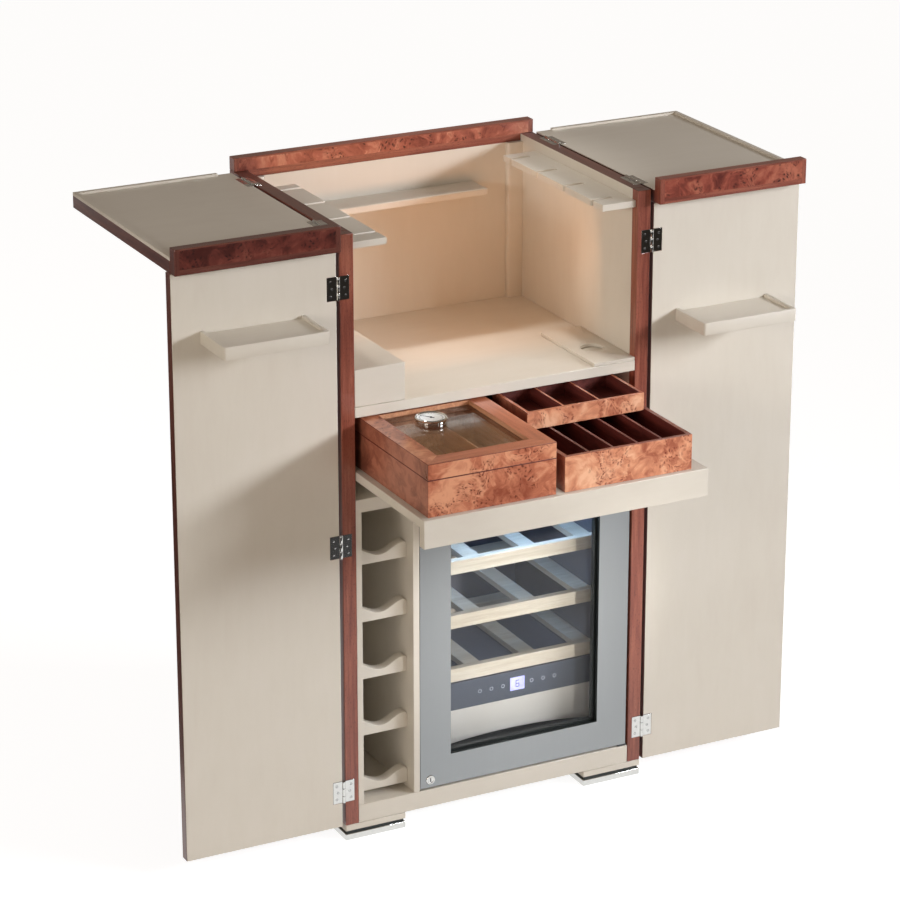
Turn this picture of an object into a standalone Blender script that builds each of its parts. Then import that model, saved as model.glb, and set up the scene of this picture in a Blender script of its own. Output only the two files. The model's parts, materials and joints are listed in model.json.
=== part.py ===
"""Bar cabinet shown open: doors and top flaps folded right back, tray of boxes drawn out.

The cabinet's own frame has X to the right, Y from the front face of the posts to the back, Z up
from the floor. One parent empty moves that frame so that the origin lies under the middle of the
object's box. Every moving body has an empty on its joint's axis.
"""

import math

import bmesh
import bpy
from mathutils import Matrix, Vector

# Clearances
TOUCH = 0.0003
REVEAL = 0.001
RUNNING = 0.0015

# Carcass
CABINET_WIDTH = 0.610
CABINET_DEPTH = 0.460
WALL_THICKNESS = 0.026
POST_DEPTH = 0.020
BACK_THICKNESS = 0.012
BACK_SETBACK = 0.008
RAIL_DEPTH = 0.022
RAIL_DROP = 0.013
PLINTH_HEIGHT = 0.0345
BASE_THICKNESS = 0.018
FRONT_SETBACK = 0.001

# Skids under the two sides
SKID_HEIGHT = 0.030
SKID_WIDTH = 0.120
SKID_BACK_SETBACK = 0.020
SKID_PLATE_HEIGHT = 0.012
SKID_RECESS_HEIGHT = 0.006
SKID_RECESS_INSET = 0.003
SKID_OVERLAP = 0.001

# Bar compartment
BAR_HEIGHT = 0.315
BAR_FLOOR_THICKNESS = 0.019
BACK_SHELF_WIDTH = 0.356
BACK_SHELF_DEPTH = 0.062
BACK_SHELF_THICKNESS = 0.012
BACK_SHELF_RISE = 0.225
GLASS_RACK_WIDTH = 0.067
GLASS_RACK_LENGTH = 0.372
GLASS_RACK_THICKNESS = 0.012
GLASS_RACK_SETBACK = 0.008
GLASS_RACK_DROP = 0.019
GLASS_SLOT_COUNT = 4
GLASS_SLOT_WIDTH = 0.009
GLASS_SLOT_LENGTH = 0.042
GLASS_SLOT_PITCH = 0.102
FIRST_GLASS_SLOT = 0.047
STEP_WIDTH = 0.097
STEP_DEPTH = 0.200
STEP_HEIGHT = 0.068
STEP_WALL = 0.010
BOARD_WIDTH = 0.083
BOARD_DEPTH = 0.200
BOARD_THICKNESS = 0.006
FINGER_HOLE_RADIUS = 0.021
FINGER_HOLE_FROM_FRONT = 0.082

# Bottle rack, left of the cooler
CHEEK_THICKNESS = 0.011
BAY_WIDTH = 0.100
DIVIDER_THICKNESS = 0.0125
BOTTLE_RACK_DEPTH = 0.340
RACK_TOP_THICKNESS = 0.024
REST_COUNT = 5
FIRST_REST_RISE = 0.012
REST_HEIGHT = 0.030
REST_DIP = 0.017
REST_THICKNESS = 0.020
REST_SETBACK = 0.027
REST_CORNER = 0.006
REAR_REST_SETBACK = 0.260
REST_WAVE_STEPS = 12

# Wine cooler
COOLER_HEIGHT = 0.580
COOLER_HEADROOM = 0.0082
COOLER_DEPTH = 0.380
COOLER_WALL = 0.028
COOLER_BACK_WALL = 0.030
COOLER_DOOR_SETBACK = 0.002
COOLER_DOOR_THICKNESS = 0.0425
COOLER_SEAL_GAP = 0.0009
COOLER_DOOR_EDGE_GAP = 0.004
COOLER_LUG_THICKNESS = 0.003
COOLER_LUG_WIDTH = 0.018
COOLER_STILE = 0.062
COOLER_RAIL = 0.058
COOLER_PIVOT_INSET = 0.0065
COOLER_PIN_RADIUS = 0.003
COOLER_PIN_LENGTH = 0.010
COOLER_GLASS_SETBACK = 0.008
COOLER_GLASS_THICKNESS = 0.018
COOLER_GLASS_LAP = 0.008
COOLER_PANEL_RISE = 0.1152
COOLER_PANEL_HEIGHT = 0.054
COOLER_PANEL_SETBACK = 0.017
COOLER_STEP_SETBACK = 0.095
COOLER_SHELF_COUNT = 3
COOLER_SHELF_PITCH = 0.106
COOLER_SHELF_RISE = 0.002
COOLER_SHELF_THICKNESS = 0.012
COOLER_SHELF_FRONT_HEIGHT = 0.026
COOLER_SHELF_FRONT_DEPTH = 0.014
COOLER_SHELF_SETBACK = 0.018
COOLER_SHELF_LENGTH = 0.315
COOLER_SHELF_BAR = 0.032
COOLER_SHELF_GAPS = 3
COOLER_SHELF_TONGUE = 0.004
LOCK_RADIUS = 0.009
LOCK_LENGTH = 0.012
LOCK_INSET = 0.0205
LOCK_RISE = 0.0145
LOCK_PROUD = 0.0014

# Pull-out tray
TRAY_THICKNESS = 0.0165
TRAY_LENGTH = 0.410
TRAY_OUT = 0.262
APRON_HEIGHT = 0.0515
APRON_THICKNESS = 0.018
TRAY_SETBACK = 0.0005
TONGUE_LENGTH = 0.080
TONGUE_REACH = 0.0075
TONGUE_THICKNESS = 0.011
GROOVE_END = 0.030

# Boxes on the tray
BOX_HEADROOM = 0.0042
BOX_FRONT_MARGIN = 0.0095
HUMIDOR_LEFT_MARGIN = 0.0125
HUMIDOR_WIDTH = 0.245
HUMIDOR_DEPTH = 0.292
HUMIDOR_BOX_HEIGHT = 0.0665
HUMIDOR_LID_HEIGHT = 0.0287
HUMIDOR_WALL = 0.010
HUMIDOR_BOTTOM = 0.008
HUMIDOR_LID_RAIL = 0.034
HUMIDOR_LID_TOP = 0.009
HUMIDOR_GLASS_THICKNESS = 0.004
HUMIDOR_GLASS_LAP = 0.008
CHIPS_LEFT_GAP = 0.017
CHIPS_WIDTH = 0.252
CHIPS_DEPTH = 0.292
CHIPS_HEIGHT = 0.0647
CHIPS_WALL = 0.008
CHIPS_BOTTOM = 0.008
CHIPS_WELL_COUNT = 5
CHIPS_DIVIDER = 0.005
CHIPS_DIVIDER_DROP = 0.003
CARD_CLEARANCE = 0.0006
CARD_DEPTH = 0.131
CARD_HEIGHT = 0.033
CARD_WALL = 0.006
CARD_BOTTOM = 0.006
CARD_WELL_WIDTH = 0.067
CARD_WELL_COUNT = 2
CARD_DIVIDER = 0.004

# Doors and top flaps
DOOR_THICKNESS = 0.020
DOOR_TOP_DROP = 0.026
FLAP_THICKNESS = 0.024
STRIP_RISE = 0.022
STRIP_THICKNESS = 0.020
RIM_HEIGHT = 0.004
RIM_WIDTH = 0.008
RIM_START = 0.004
DOOR_SHELF_WIDTH = 0.194
DOOR_SHELF_DEPTH = 0.100
DOOR_SHELF_HEIGHT = 0.023
DOOR_SHELF_RIM = 0.007
DOOR_SHELF_FLOOR = 0.018
DOOR_SHELF_CORNER = 0.005
DOOR_SHELF_CORNER_STEPS = 5
DOOR_SHELF_FROM_EDGE = {"left": 0.059, "right": 0.049}
DOOR_SHELF_DROP = {"left": 0.155, "right": 0.252}

# Butt hinges
HINGE_OFFSET = 0.0033
DOOR_HINGE_FROM_END = 0.0685
DOOR_HINGE_LENGTH = 0.042
DOOR_HINGE_LEAF = 0.0175
DOOR_BARREL_RADIUS = 0.0030
DOOR_PIN_RADIUS = 0.0015
PIN_HEAD_RADIUS = 0.0026
PIN_HEAD_HEIGHT = 0.0015
FLAP_HINGE_PLACES = {"front": 0.067, "rear": 0.368}
FLAP_HINGE_LENGTH = 0.056
FLAP_HINGE_LEAF = 0.0105
FLAP_BARREL_RADIUS = 0.0026
FLAP_PIN_RADIUS = 0.0013
LEAF_THICKNESS = 0.0015
MIDDLE_KNUCKLE_SHARE = 0.36
BARREL_SIDES = 16
ROUND_SIDES = 32

# Places worked out from the sizes above
SIDES = {"left": -1, "right": 1}
HALF_WIDTH = CABINET_WIDTH / 2
INNER = HALF_WIDTH - WALL_THICKNESS
BASE_TOP = SKID_HEIGHT + PLINTH_HEIGHT
COOLER_BOTTOM = BASE_TOP + TOUCH
COOLER_TOP = COOLER_BOTTOM + COOLER_HEIGHT
LOWER_TOP = COOLER_TOP + COOLER_HEADROOM
TRAY_TOP = LOWER_TOP + RUNNING + APRON_HEIGHT
BOX_BOTTOM = TRAY_TOP + TOUCH
HUMIDOR_SPLIT = BOX_BOTTOM + HUMIDOR_BOX_HEIGHT
LID_BOTTOM = HUMIDOR_SPLIT + TOUCH
LID_TOP = LID_BOTTOM + HUMIDOR_LID_HEIGHT
BAR_FLOOR_TOP = LID_TOP + BOX_HEADROOM + BAR_FLOOR_THICKNESS
WALL_TOP = BAR_FLOOR_TOP + BAR_HEIGHT
BACK_FACE = CABINET_DEPTH - BACK_SETBACK - BACK_THICKNESS
RAIL_FRONT = CABINET_DEPTH - RAIL_DEPTH
TRAY_FRONT = TRAY_SETBACK - TRAY_OUT
FRONT_Y = -(TRAY_FRONT + CABINET_DEPTH) / 2
HINGE_X = HALF_WIDTH + HINGE_OFFSET
LEAF_EDGE_X = HINGE_X + HINGE_OFFSET
PANEL_WIDTH = HALF_WIDTH - REVEAL
FOLD_Y = -REVEAL / 2
FLAP_FOLD_Z = WALL_TOP + REVEAL / 2
DOOR_TOP = WALL_TOP - DOOR_TOP_DROP
DOOR_HINGE_HEIGHTS = {
    "top": DOOR_TOP - DOOR_HINGE_FROM_END,
    "middle": (DOOR_TOP + SKID_HEIGHT) / 2,
    "bottom": SKID_HEIGHT + DOOR_HINGE_FROM_END,
}
FIRST_REST = BASE_TOP + FIRST_REST_RISE
REST_PITCH = (LOWER_TOP - RACK_TOP_THICKNESS - FIRST_REST) / REST_COUNT
DIVIDER_LEFT = -INNER + TOUCH + CHEEK_THICKNESS + BAY_WIDTH + TOUCH
DIVIDER_RIGHT = DIVIDER_LEFT + DIVIDER_THICKNESS
COOLER_LEFT = DIVIDER_RIGHT + TOUCH
COOLER_RIGHT = INNER - TOUCH
COOLER_PANEL_BOTTOM = COOLER_BOTTOM + COOLER_PANEL_RISE
COOLER_FRONT = COOLER_DOOR_SETBACK + COOLER_DOOR_THICKNESS + COOLER_SEAL_GAP
COOLER_DOOR_LEFT = COOLER_LEFT + REVEAL
COOLER_DOOR_RIGHT = COOLER_RIGHT - COOLER_DOOR_EDGE_GAP
COOLER_DOOR_BOTTOM = COOLER_BOTTOM + COOLER_LUG_THICKNESS + TOUCH
COOLER_DOOR_TOP = COOLER_TOP - COOLER_LUG_THICKNESS - TOUCH
COOLER_PIVOT = (COOLER_DOOR_RIGHT - COOLER_PIVOT_INSET, COOLER_DOOR_SETBACK + COOLER_PIVOT_INSET)
TRAY_HALF = INNER - RUNNING
BOX_FRONT = TRAY_FRONT + BOX_FRONT_MARGIN
HUMIDOR_LEFT = -TRAY_HALF + HUMIDOR_LEFT_MARGIN
HUMIDOR_RIGHT = HUMIDOR_LEFT + HUMIDOR_WIDTH
HUMIDOR_BACK = BOX_FRONT + HUMIDOR_DEPTH
CHIPS_LEFT = HUMIDOR_RIGHT + CHIPS_LEFT_GAP
CHIPS_TOP = BOX_BOTTOM + CHIPS_HEIGHT
CARD_BOTTOM_Z = CHIPS_TOP - CHIPS_DIVIDER_DROP + TOUCH
CARD_BACK = BOX_FRONT + CHIPS_DEPTH - CHIPS_WALL - CARD_CLEARANCE
LOCK_X = COOLER_DOOR_LEFT + LOCK_INSET
LOCK_Z = COOLER_DOOR_BOTTOM + LOCK_RISE

FINISHES = {
    "cream_lacquer": ((0.77, 0.73, 0.66), 0.35, 0.0),
    "mahogany": ((0.23, 0.08, 0.05), 0.25, 0.0),
    "red_burl": ((0.33, 0.10, 0.06), 0.20, 0.0),
    "tan_burl": ((0.58, 0.27, 0.14), 0.25, 0.0),
    "beech": ((0.75, 0.66, 0.52), 0.45, 0.0),
    "brushed_steel": ((0.35, 0.37, 0.39), 0.38, 1.0),
    "cooler_dark": ((0.10, 0.11, 0.13), 0.50, 0.0),
    "glass": ((0.80, 0.86, 0.86), 0.05, 0.0),
    "chrome": ((0.75, 0.75, 0.74), 0.15, 1.0),
}

AXES = {}
PIVOTS = {}


def clear_scene():
    for obj in list(bpy.data.objects):
        bpy.data.objects.remove(obj)


def make_materials():
    for name, (colour, roughness, metallic) in FINISHES.items():
        material = bpy.data.materials.new(name)
        material.use_nodes = True
        shader = material.node_tree.nodes["Principled BSDF"]
        shader.inputs["Base Color"].default_value = (*colour, 1.0)
        shader.inputs["Roughness"].default_value = roughness
        shader.inputs["Metallic"].default_value = metallic


def add_axis(name, parent, pivot):
    """An empty on a joint's axis, given in the cabinet's frame and parented to the body that carries it."""
    empty = bpy.data.objects.new(name + "_axis", None)
    bpy.context.scene.collection.objects.link(empty)
    PIVOTS[name] = Vector(pivot)
    AXES[name] = empty
    if parent is None:
        empty.location = (0.0, FRONT_Y, 0.0)
        return
    empty.parent = AXES[parent]
    empty.location = PIVOTS[name] - PIVOTS[parent]


def box(x_span, y_span, z_span):
    """A box between two planes on each axis, in the cabinet's frame."""
    low = Vector((min(x_span), min(y_span), min(z_span)))
    high = Vector((max(x_span), max(y_span), max(z_span)))
    shape = bmesh.new()
    bmesh.ops.create_cube(shape, size=1.0)
    bmesh.ops.transform(
        shape,
        matrix=Matrix.LocRotScale((low + high) / 2, None, high - low),
        verts=shape.verts,
    )
    return shape


def prism(outline, along, span):
    """A closed outline in the plane square to an axis, drawn out between two places on that axis."""
    axis = "XYZ".index(along)
    start, end = min(span), max(span)
    shape = bmesh.new()
    corners = []
    for first, second in outline:
        point = [first, second]
        point.insert(axis, start)
        corners.append(shape.verts.new(point))
    face = shape.faces.new(corners)
    drawn = bmesh.ops.extrude_face_region(shape, geom=[face])
    moved = [item for item in drawn["geom"] if isinstance(item, bmesh.types.BMVert)]
    offset = Vector((0.0, 0.0, 0.0))
    offset[axis] = end - start
    bmesh.ops.translate(shape, vec=offset, verts=moved)
    bmesh.ops.recalc_face_normals(shape, faces=shape.faces)
    return shape


def rod(centre, along, span, radius, sides=BARREL_SIDES):
    """A round bar about a line square to the plane that the centre is given in."""
    turn = 2 * math.pi / sides
    outline = [
        (centre[0] + radius * math.cos(turn * i), centre[1] + radius * math.sin(turn * i))
        for i in range(sides)
    ]
    return prism(outline, along, span)


def place(name, shape, axis):
    bmesh.ops.translate(shape, vec=-PIVOTS[axis], verts=shape.verts)
    mesh = bpy.data.meshes.new(name)
    shape.to_mesh(mesh)
    shape.free()
    obj = bpy.data.objects.new(name, mesh)
    bpy.context.scene.collection.objects.link(obj)
    obj.parent = AXES[axis]
    return obj


def piece(name, shape, axis, finish, smooth=False):
    obj = place(name, shape, axis)
    obj["axis"] = axis
    obj.data.materials.append(bpy.data.materials[finish])
    if smooth:
        obj.data.shade_smooth()
        obj.data.set_sharp_from_angle(angle=math.radians(40))
    return obj


def combine(obj, operation, shapes):
    for index, shape in enumerate(shapes):
        label = f"{obj.name}_{operation.lower()}_{index}"
        helper = place(label, shape, obj["axis"])
        helper.hide_render = True
        helper.display_type = "WIRE"
        modifier = obj.modifiers.new(label, "BOOLEAN")
        modifier.operation = operation
        modifier.solver = "EXACT"
        modifier.object = helper


def cut(obj, *shapes):
    combine(obj, "DIFFERENCE", shapes)


def join(obj, *shapes):
    combine(obj, "UNION", shapes)


def sided(side, near, far):
    """A span of X measured outwards from the middle plane, on the left or the right."""
    return (SIDES[side] * near, SIDES[side] * far)


def about(middle, length):
    return (middle - length / 2, middle + length / 2)


def make_axes():
    add_axis("carcass", None, (0.0, 0.0, 0.0))
    for side, sign in SIDES.items():
        door_fold = (sign * HINGE_X, FOLD_Y, DOOR_HINGE_HEIGHTS["middle"])
        add_axis(f"{side}_hinge_pin", "carcass", door_fold)
        add_axis(f"{side}_door", f"{side}_hinge_pin", door_fold)
        add_axis(f"{side}_flap", "carcass", (sign * HINGE_X, 0.0, FLAP_FOLD_Z))
    add_axis("tray", "carcass", (0.0, TRAY_FRONT, TRAY_TOP))
    add_axis("card_box", "tray", (CHIPS_LEFT + CHIPS_WIDTH / 2, CARD_BACK - CARD_DEPTH, CARD_BOTTOM_Z))
    add_axis("humidor_lid", "tray", ((HUMIDOR_LEFT + HUMIDOR_RIGHT) / 2, HUMIDOR_BACK, HUMIDOR_SPLIT))
    add_axis("cooler_door", "carcass", (*COOLER_PIVOT, COOLER_DOOR_BOTTOM))
    add_axis("cooler_lock", "cooler_door", (LOCK_X, COOLER_DOOR_SETBACK, LOCK_Z))


def door_mortise(outer, inner, height):
    """The shallow pocket for one leaf of a door hinge, open at the board's edge."""
    return box(
        (outer, inner),
        (-LEAF_THICKNESS, LEAF_THICKNESS + TOUCH),
        about(height, DOOR_HINGE_LENGTH + 2 * TOUCH),
    )


def flap_mortise(outer, inner, place_y):
    return box(
        (outer, inner),
        about(place_y, FLAP_HINGE_LENGTH + 2 * TOUCH),
        (WALL_TOP - LEAF_THICKNESS - TOUCH, WALL_TOP + LEAF_THICKNESS),
    )


def make_carcass():
    groove_z = about(TRAY_TOP - TRAY_THICKNESS / 2, TONGUE_THICKNESS + 2 * TOUCH)
    for side, sign in SIDES.items():
        panel = piece(
            f"{side}_side_panel",
            box(
                sided(side, INNER, HALF_WIDTH),
                (POST_DEPTH + TOUCH, CABINET_DEPTH),
                (SKID_HEIGHT, WALL_TOP),
            ),
            "carcass",
            "cream_lacquer",
        )
        cut(
            panel,
            box(
                sided(side, INNER - RUNNING, INNER + TONGUE_REACH + TOUCH),
                (0.0, CABINET_DEPTH - GROOVE_END),
                groove_z,
            ),
        )
        for place_y in FLAP_HINGE_PLACES.values():
            inner_end = HALF_WIDTH - FLAP_HINGE_LEAF - TOUCH
            cut(panel, flap_mortise(sign * HINGE_X, sign * inner_end, place_y))
        post = piece(
            f"{side}_front_post",
            box(sided(side, INNER, HALF_WIDTH), (0.0, POST_DEPTH), (SKID_HEIGHT, WALL_TOP)),
            "carcass",
            "mahogany",
        )
        for height in DOOR_HINGE_HEIGHTS.values():
            inner_end = HALF_WIDTH - DOOR_HINGE_LEAF - TOUCH
            cut(post, door_mortise(sign * HINGE_X, sign * inner_end, height))
        make_skid(side)
    inside = (-INNER + TOUCH, INNER - TOUCH)
    piece(
        "back_panel",
        box(
            inside,
            (BACK_FACE, BACK_FACE + BACK_THICKNESS),
            (SKID_HEIGHT, WALL_TOP - RAIL_DROP - TOUCH),
        ),
        "carcass",
        "cream_lacquer",
    )
    rail_top = WALL_TOP + REVEAL + FLAP_THICKNESS
    rail_outline = [
        (-HALF_WIDTH, rail_top),
        (-HALF_WIDTH, WALL_TOP + TOUCH),
        (inside[0], WALL_TOP + TOUCH),
        (inside[0], WALL_TOP - RAIL_DROP),
        (inside[1], WALL_TOP - RAIL_DROP),
        (inside[1], WALL_TOP + TOUCH),
        (HALF_WIDTH, WALL_TOP + TOUCH),
        (HALF_WIDTH, rail_top),
    ]
    piece("back_rail", prism(rail_outline, "Y", (RAIL_FRONT, CABINET_DEPTH)), "carcass", "red_burl")
    base_outline = [
        (FRONT_SETBACK, SKID_HEIGHT),
        (FRONT_SETBACK + BASE_THICKNESS, SKID_HEIGHT),
        (FRONT_SETBACK + BASE_THICKNESS, BASE_TOP - BASE_THICKNESS),
        (BACK_FACE - TOUCH, BASE_TOP - BASE_THICKNESS),
        (BACK_FACE - TOUCH, BASE_TOP),
        (FRONT_SETBACK, BASE_TOP),
    ]
    piece("base_panel", prism(base_outline, "X", inside), "carcass", "cream_lacquer")


def make_skid(side):
    """A block, a dark set-back band and a bright plate on the floor, in one foot along the side."""
    x_span = sided(side, HALF_WIDTH - SKID_WIDTH, HALF_WIDTH)
    y_span = (0.0, CABINET_DEPTH - SKID_BACK_SETBACK)
    block_bottom = SKID_PLATE_HEIGHT + SKID_RECESS_HEIGHT
    skid = piece(
        f"{side}_skid",
        box(x_span, y_span, (block_bottom, SKID_HEIGHT - TOUCH)),
        "carcass",
        "chrome",
    )
    inset_x = (min(x_span) + SKID_RECESS_INSET, max(x_span) - SKID_RECESS_INSET)
    inset_y = (y_span[0] + SKID_RECESS_INSET, y_span[1] - SKID_RECESS_INSET)
    join(
        skid,
        box(inset_x, inset_y, (SKID_PLATE_HEIGHT - SKID_OVERLAP, block_bottom + SKID_OVERLAP)),
        box(x_span, y_span, (0.0, SKID_PLATE_HEIGHT)),
    )


def make_bar():
    inside = (-INNER + TOUCH, INNER - TOUCH)
    piece(
        "bar_floor",
        box(
            inside,
            (0.0, BACK_FACE - TOUCH),
            (BAR_FLOOR_TOP - BAR_FLOOR_THICKNESS, BAR_FLOOR_TOP),
        ),
        "carcass",
        "cream_lacquer",
    )
    back_shelf_bottom = BAR_FLOOR_TOP + BACK_SHELF_RISE
    piece(
        "bar_back_shelf",
        box(
            about(0.0, BACK_SHELF_WIDTH),
            (BACK_FACE - TOUCH - BACK_SHELF_DEPTH, BACK_FACE - TOUCH),
            (back_shelf_bottom, back_shelf_bottom + BACK_SHELF_THICKNESS),
        ),
        "carcass",
        "cream_lacquer",
    )
    for side in SIDES:
        make_glass_rack(side)
    seat = BAR_FLOOR_TOP + TOUCH
    step_x = (-INNER + TOUCH, -INNER + TOUCH + STEP_WIDTH)
    step = piece(
        "step_box",
        box(step_x, (FRONT_SETBACK, FRONT_SETBACK + STEP_DEPTH), (seat, seat + STEP_HEIGHT)),
        "carcass",
        "cream_lacquer",
    )
    cut(
        step,
        box(
            (step_x[0] + STEP_WALL, step_x[1] - STEP_WALL),
            (FRONT_SETBACK + STEP_WALL, FRONT_SETBACK + STEP_DEPTH - STEP_WALL),
            (seat - STEP_WALL, seat + STEP_HEIGHT - STEP_WALL),
        ),
    )
    board_x = (INNER - TOUCH - BOARD_WIDTH, INNER - TOUCH)
    board = piece(
        "lift_out_board",
        box(board_x, (FRONT_SETBACK, FRONT_SETBACK + BOARD_DEPTH), (seat, seat + BOARD_THICKNESS)),
        "carcass",
        "cream_lacquer",
    )
    hole_centre = (sum(board_x) / 2, FRONT_SETBACK + FINGER_HOLE_FROM_FRONT)
    hole_span = (seat - BOARD_THICKNESS, seat + 2 * BOARD_THICKNESS)
    cut(board, rod(hole_centre, "Z", hole_span, FINGER_HOLE_RADIUS, ROUND_SIDES))


def make_glass_rack(side):
    """A board on the side wall, slotted from its free edge for the stems of hanging glasses."""
    sign = SIDES[side]
    outer = INNER - TOUCH
    free_edge = outer - GLASS_RACK_WIDTH
    top = WALL_TOP - GLASS_RACK_DROP
    rack = piece(
        f"{side}_glass_rack",
        box(
            sided(side, free_edge, outer),
            (GLASS_RACK_SETBACK, GLASS_RACK_SETBACK + GLASS_RACK_LENGTH),
            (top - GLASS_RACK_THICKNESS, top),
        ),
        "carcass",
        "cream_lacquer",
    )
    through = (top - 2 * GLASS_RACK_THICKNESS, top + GLASS_RACK_THICKNESS)
    slot_end = free_edge + GLASS_SLOT_LENGTH
    for index in range(GLASS_SLOT_COUNT):
        place_y = FIRST_GLASS_SLOT + index * GLASS_SLOT_PITCH
        outline = slot_outline(sign, free_edge - GLASS_SLOT_WIDTH, slot_end, place_y)
        cut(rack, prism(outline, "Z", through))


def slot_outline(sign, start, end, place_y, steps=8):
    """A straight slot with a round inner end, in plan."""
    radius = GLASS_SLOT_WIDTH / 2
    points = [(sign * start, place_y - radius)]
    for step in range(steps + 1):
        angle = -math.pi / 2 + math.pi * step / steps
        reach = end - radius + radius * math.cos(angle)
        points.append((sign * reach, place_y + radius * math.sin(angle)))
    points.append((sign * start, place_y + radius))
    return points


def rest_outline(x_span, bottom):
    """A bottle rest seen from the front: two round shoulders with a smooth hollow between them."""
    left, right = x_span
    top = bottom + REST_HEIGHT
    points = [(left, bottom), (right, bottom), (right, top - REST_CORNER)]
    for step in range(1, 4):
        angle = math.pi / 2 * step / 3
        points.append((
            right - REST_CORNER + REST_CORNER * math.cos(angle),
            top - REST_CORNER + REST_CORNER * math.sin(angle),
        ))
    hollow_right = right - REST_CORNER
    hollow_left = left + REST_CORNER
    for step in range(1, REST_WAVE_STEPS):
        share = step / REST_WAVE_STEPS
        depth = REST_DIP * (1 - math.cos(2 * math.pi * share)) / 2
        points.append((hollow_right + (hollow_left - hollow_right) * share, top - depth))
    points.append((hollow_left, top))
    points.append((left, top))
    return points


def make_bottle_rack():
    cheek_x = (-INNER + TOUCH, -INNER + TOUCH + CHEEK_THICKNESS)
    bay_right = DIVIDER_LEFT - TOUCH
    y_span = (FRONT_SETBACK, FRONT_SETBACK + BOTTLE_RACK_DEPTH)
    bottom = BASE_TOP + TOUCH
    rack = piece("bottle_rack", box(cheek_x, y_span, (bottom, LOWER_TOP)), "carcass", "cream_lacquer")
    join(rack, box((cheek_x[0], bay_right), y_span, (LOWER_TOP - RACK_TOP_THICKNESS, LOWER_TOP)))
    rest_left = cheek_x[1] - CHEEK_THICKNESS / 2
    for index in range(REST_COUNT):
        rest_bottom = FIRST_REST + index * REST_PITCH
        outline = rest_outline((rest_left, bay_right), rest_bottom)
        join(
            rack,
            prism(outline, "Y", (REST_SETBACK, REST_SETBACK + REST_THICKNESS)),
            box(
                (rest_left, bay_right),
                (REAR_REST_SETBACK, REAR_REST_SETBACK + REST_THICKNESS),
                (rest_bottom, rest_bottom + REST_HEIGHT - REST_DIP),
            ),
        )
    piece(
        "rack_divider",
        box((DIVIDER_LEFT, DIVIDER_RIGHT), (FRONT_SETBACK, BACK_FACE - TOUCH), (bottom, LOWER_TOP)),
        "carcass",
        "cream_lacquer",
    )


def cooler_inside():
    return (COOLER_LEFT + COOLER_WALL, COOLER_RIGHT - COOLER_WALL)


def shelf_bottom(index):
    panel_top = COOLER_PANEL_BOTTOM + COOLER_PANEL_HEIGHT
    return panel_top + COOLER_SHELF_RISE + index * COOLER_SHELF_PITCH


def make_cooler_case():
    """The cold box: a bay for shelves over a control panel, and a low bay in front of the machine step."""
    inside_x = cooler_inside()
    back = COOLER_FRONT + COOLER_DEPTH
    bay_bottom = COOLER_BOTTOM + COOLER_WALL
    bay_top = COOLER_TOP - COOLER_WALL
    panel_top = COOLER_PANEL_BOTTOM + COOLER_PANEL_HEIGHT
    before = COOLER_FRONT - COOLER_WALL
    case = piece(
        "cooler_case",
        box((COOLER_LEFT, COOLER_RIGHT), (COOLER_FRONT, back), (COOLER_BOTTOM, COOLER_TOP)),
        "carcass",
        "cooler_dark",
    )
    cut(
        case,
        box(inside_x, (before, back - COOLER_BACK_WALL), (panel_top, bay_top)),
        box(inside_x, (before, COOLER_FRONT + COOLER_PANEL_SETBACK), (bay_bottom, bay_top)),
        box(inside_x, (before, COOLER_FRONT + COOLER_STEP_SETBACK), (bay_bottom, COOLER_PANEL_BOTTOM)),
    )
    groove_x = (inside_x[0] - COOLER_SHELF_TONGUE, inside_x[1] + COOLER_SHELF_TONGUE)
    for index in range(COOLER_SHELF_COUNT):
        bottom = shelf_bottom(index)
        groove_z = (bottom - TOUCH, bottom + COOLER_SHELF_THICKNESS + TOUCH)
        groove_end = COOLER_FRONT + COOLER_SHELF_SETBACK + COOLER_SHELF_LENGTH + TOUCH
        cut(case, box(groove_x, (before, groove_end), groove_z))
    lug_x = about(COOLER_PIVOT[0], COOLER_LUG_WIDTH)
    lug_y = (COOLER_DOOR_SETBACK, COOLER_FRONT + COOLER_LUG_THICKNESS)
    bottom_lug = (COOLER_BOTTOM, COOLER_BOTTOM + COOLER_LUG_THICKNESS)
    top_lug = (COOLER_TOP - COOLER_LUG_THICKNESS, COOLER_TOP)
    join(
        case,
        box(lug_x, lug_y, bottom_lug),
        box(lug_x, lug_y, top_lug),
        rod(COOLER_PIVOT, "Z", (bottom_lug[0], bottom_lug[1] + COOLER_PIN_LENGTH), COOLER_PIN_RADIUS),
        rod(COOLER_PIVOT, "Z", (top_lug[0] - COOLER_PIN_LENGTH, top_lug[1]), COOLER_PIN_RADIUS),
    )


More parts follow.
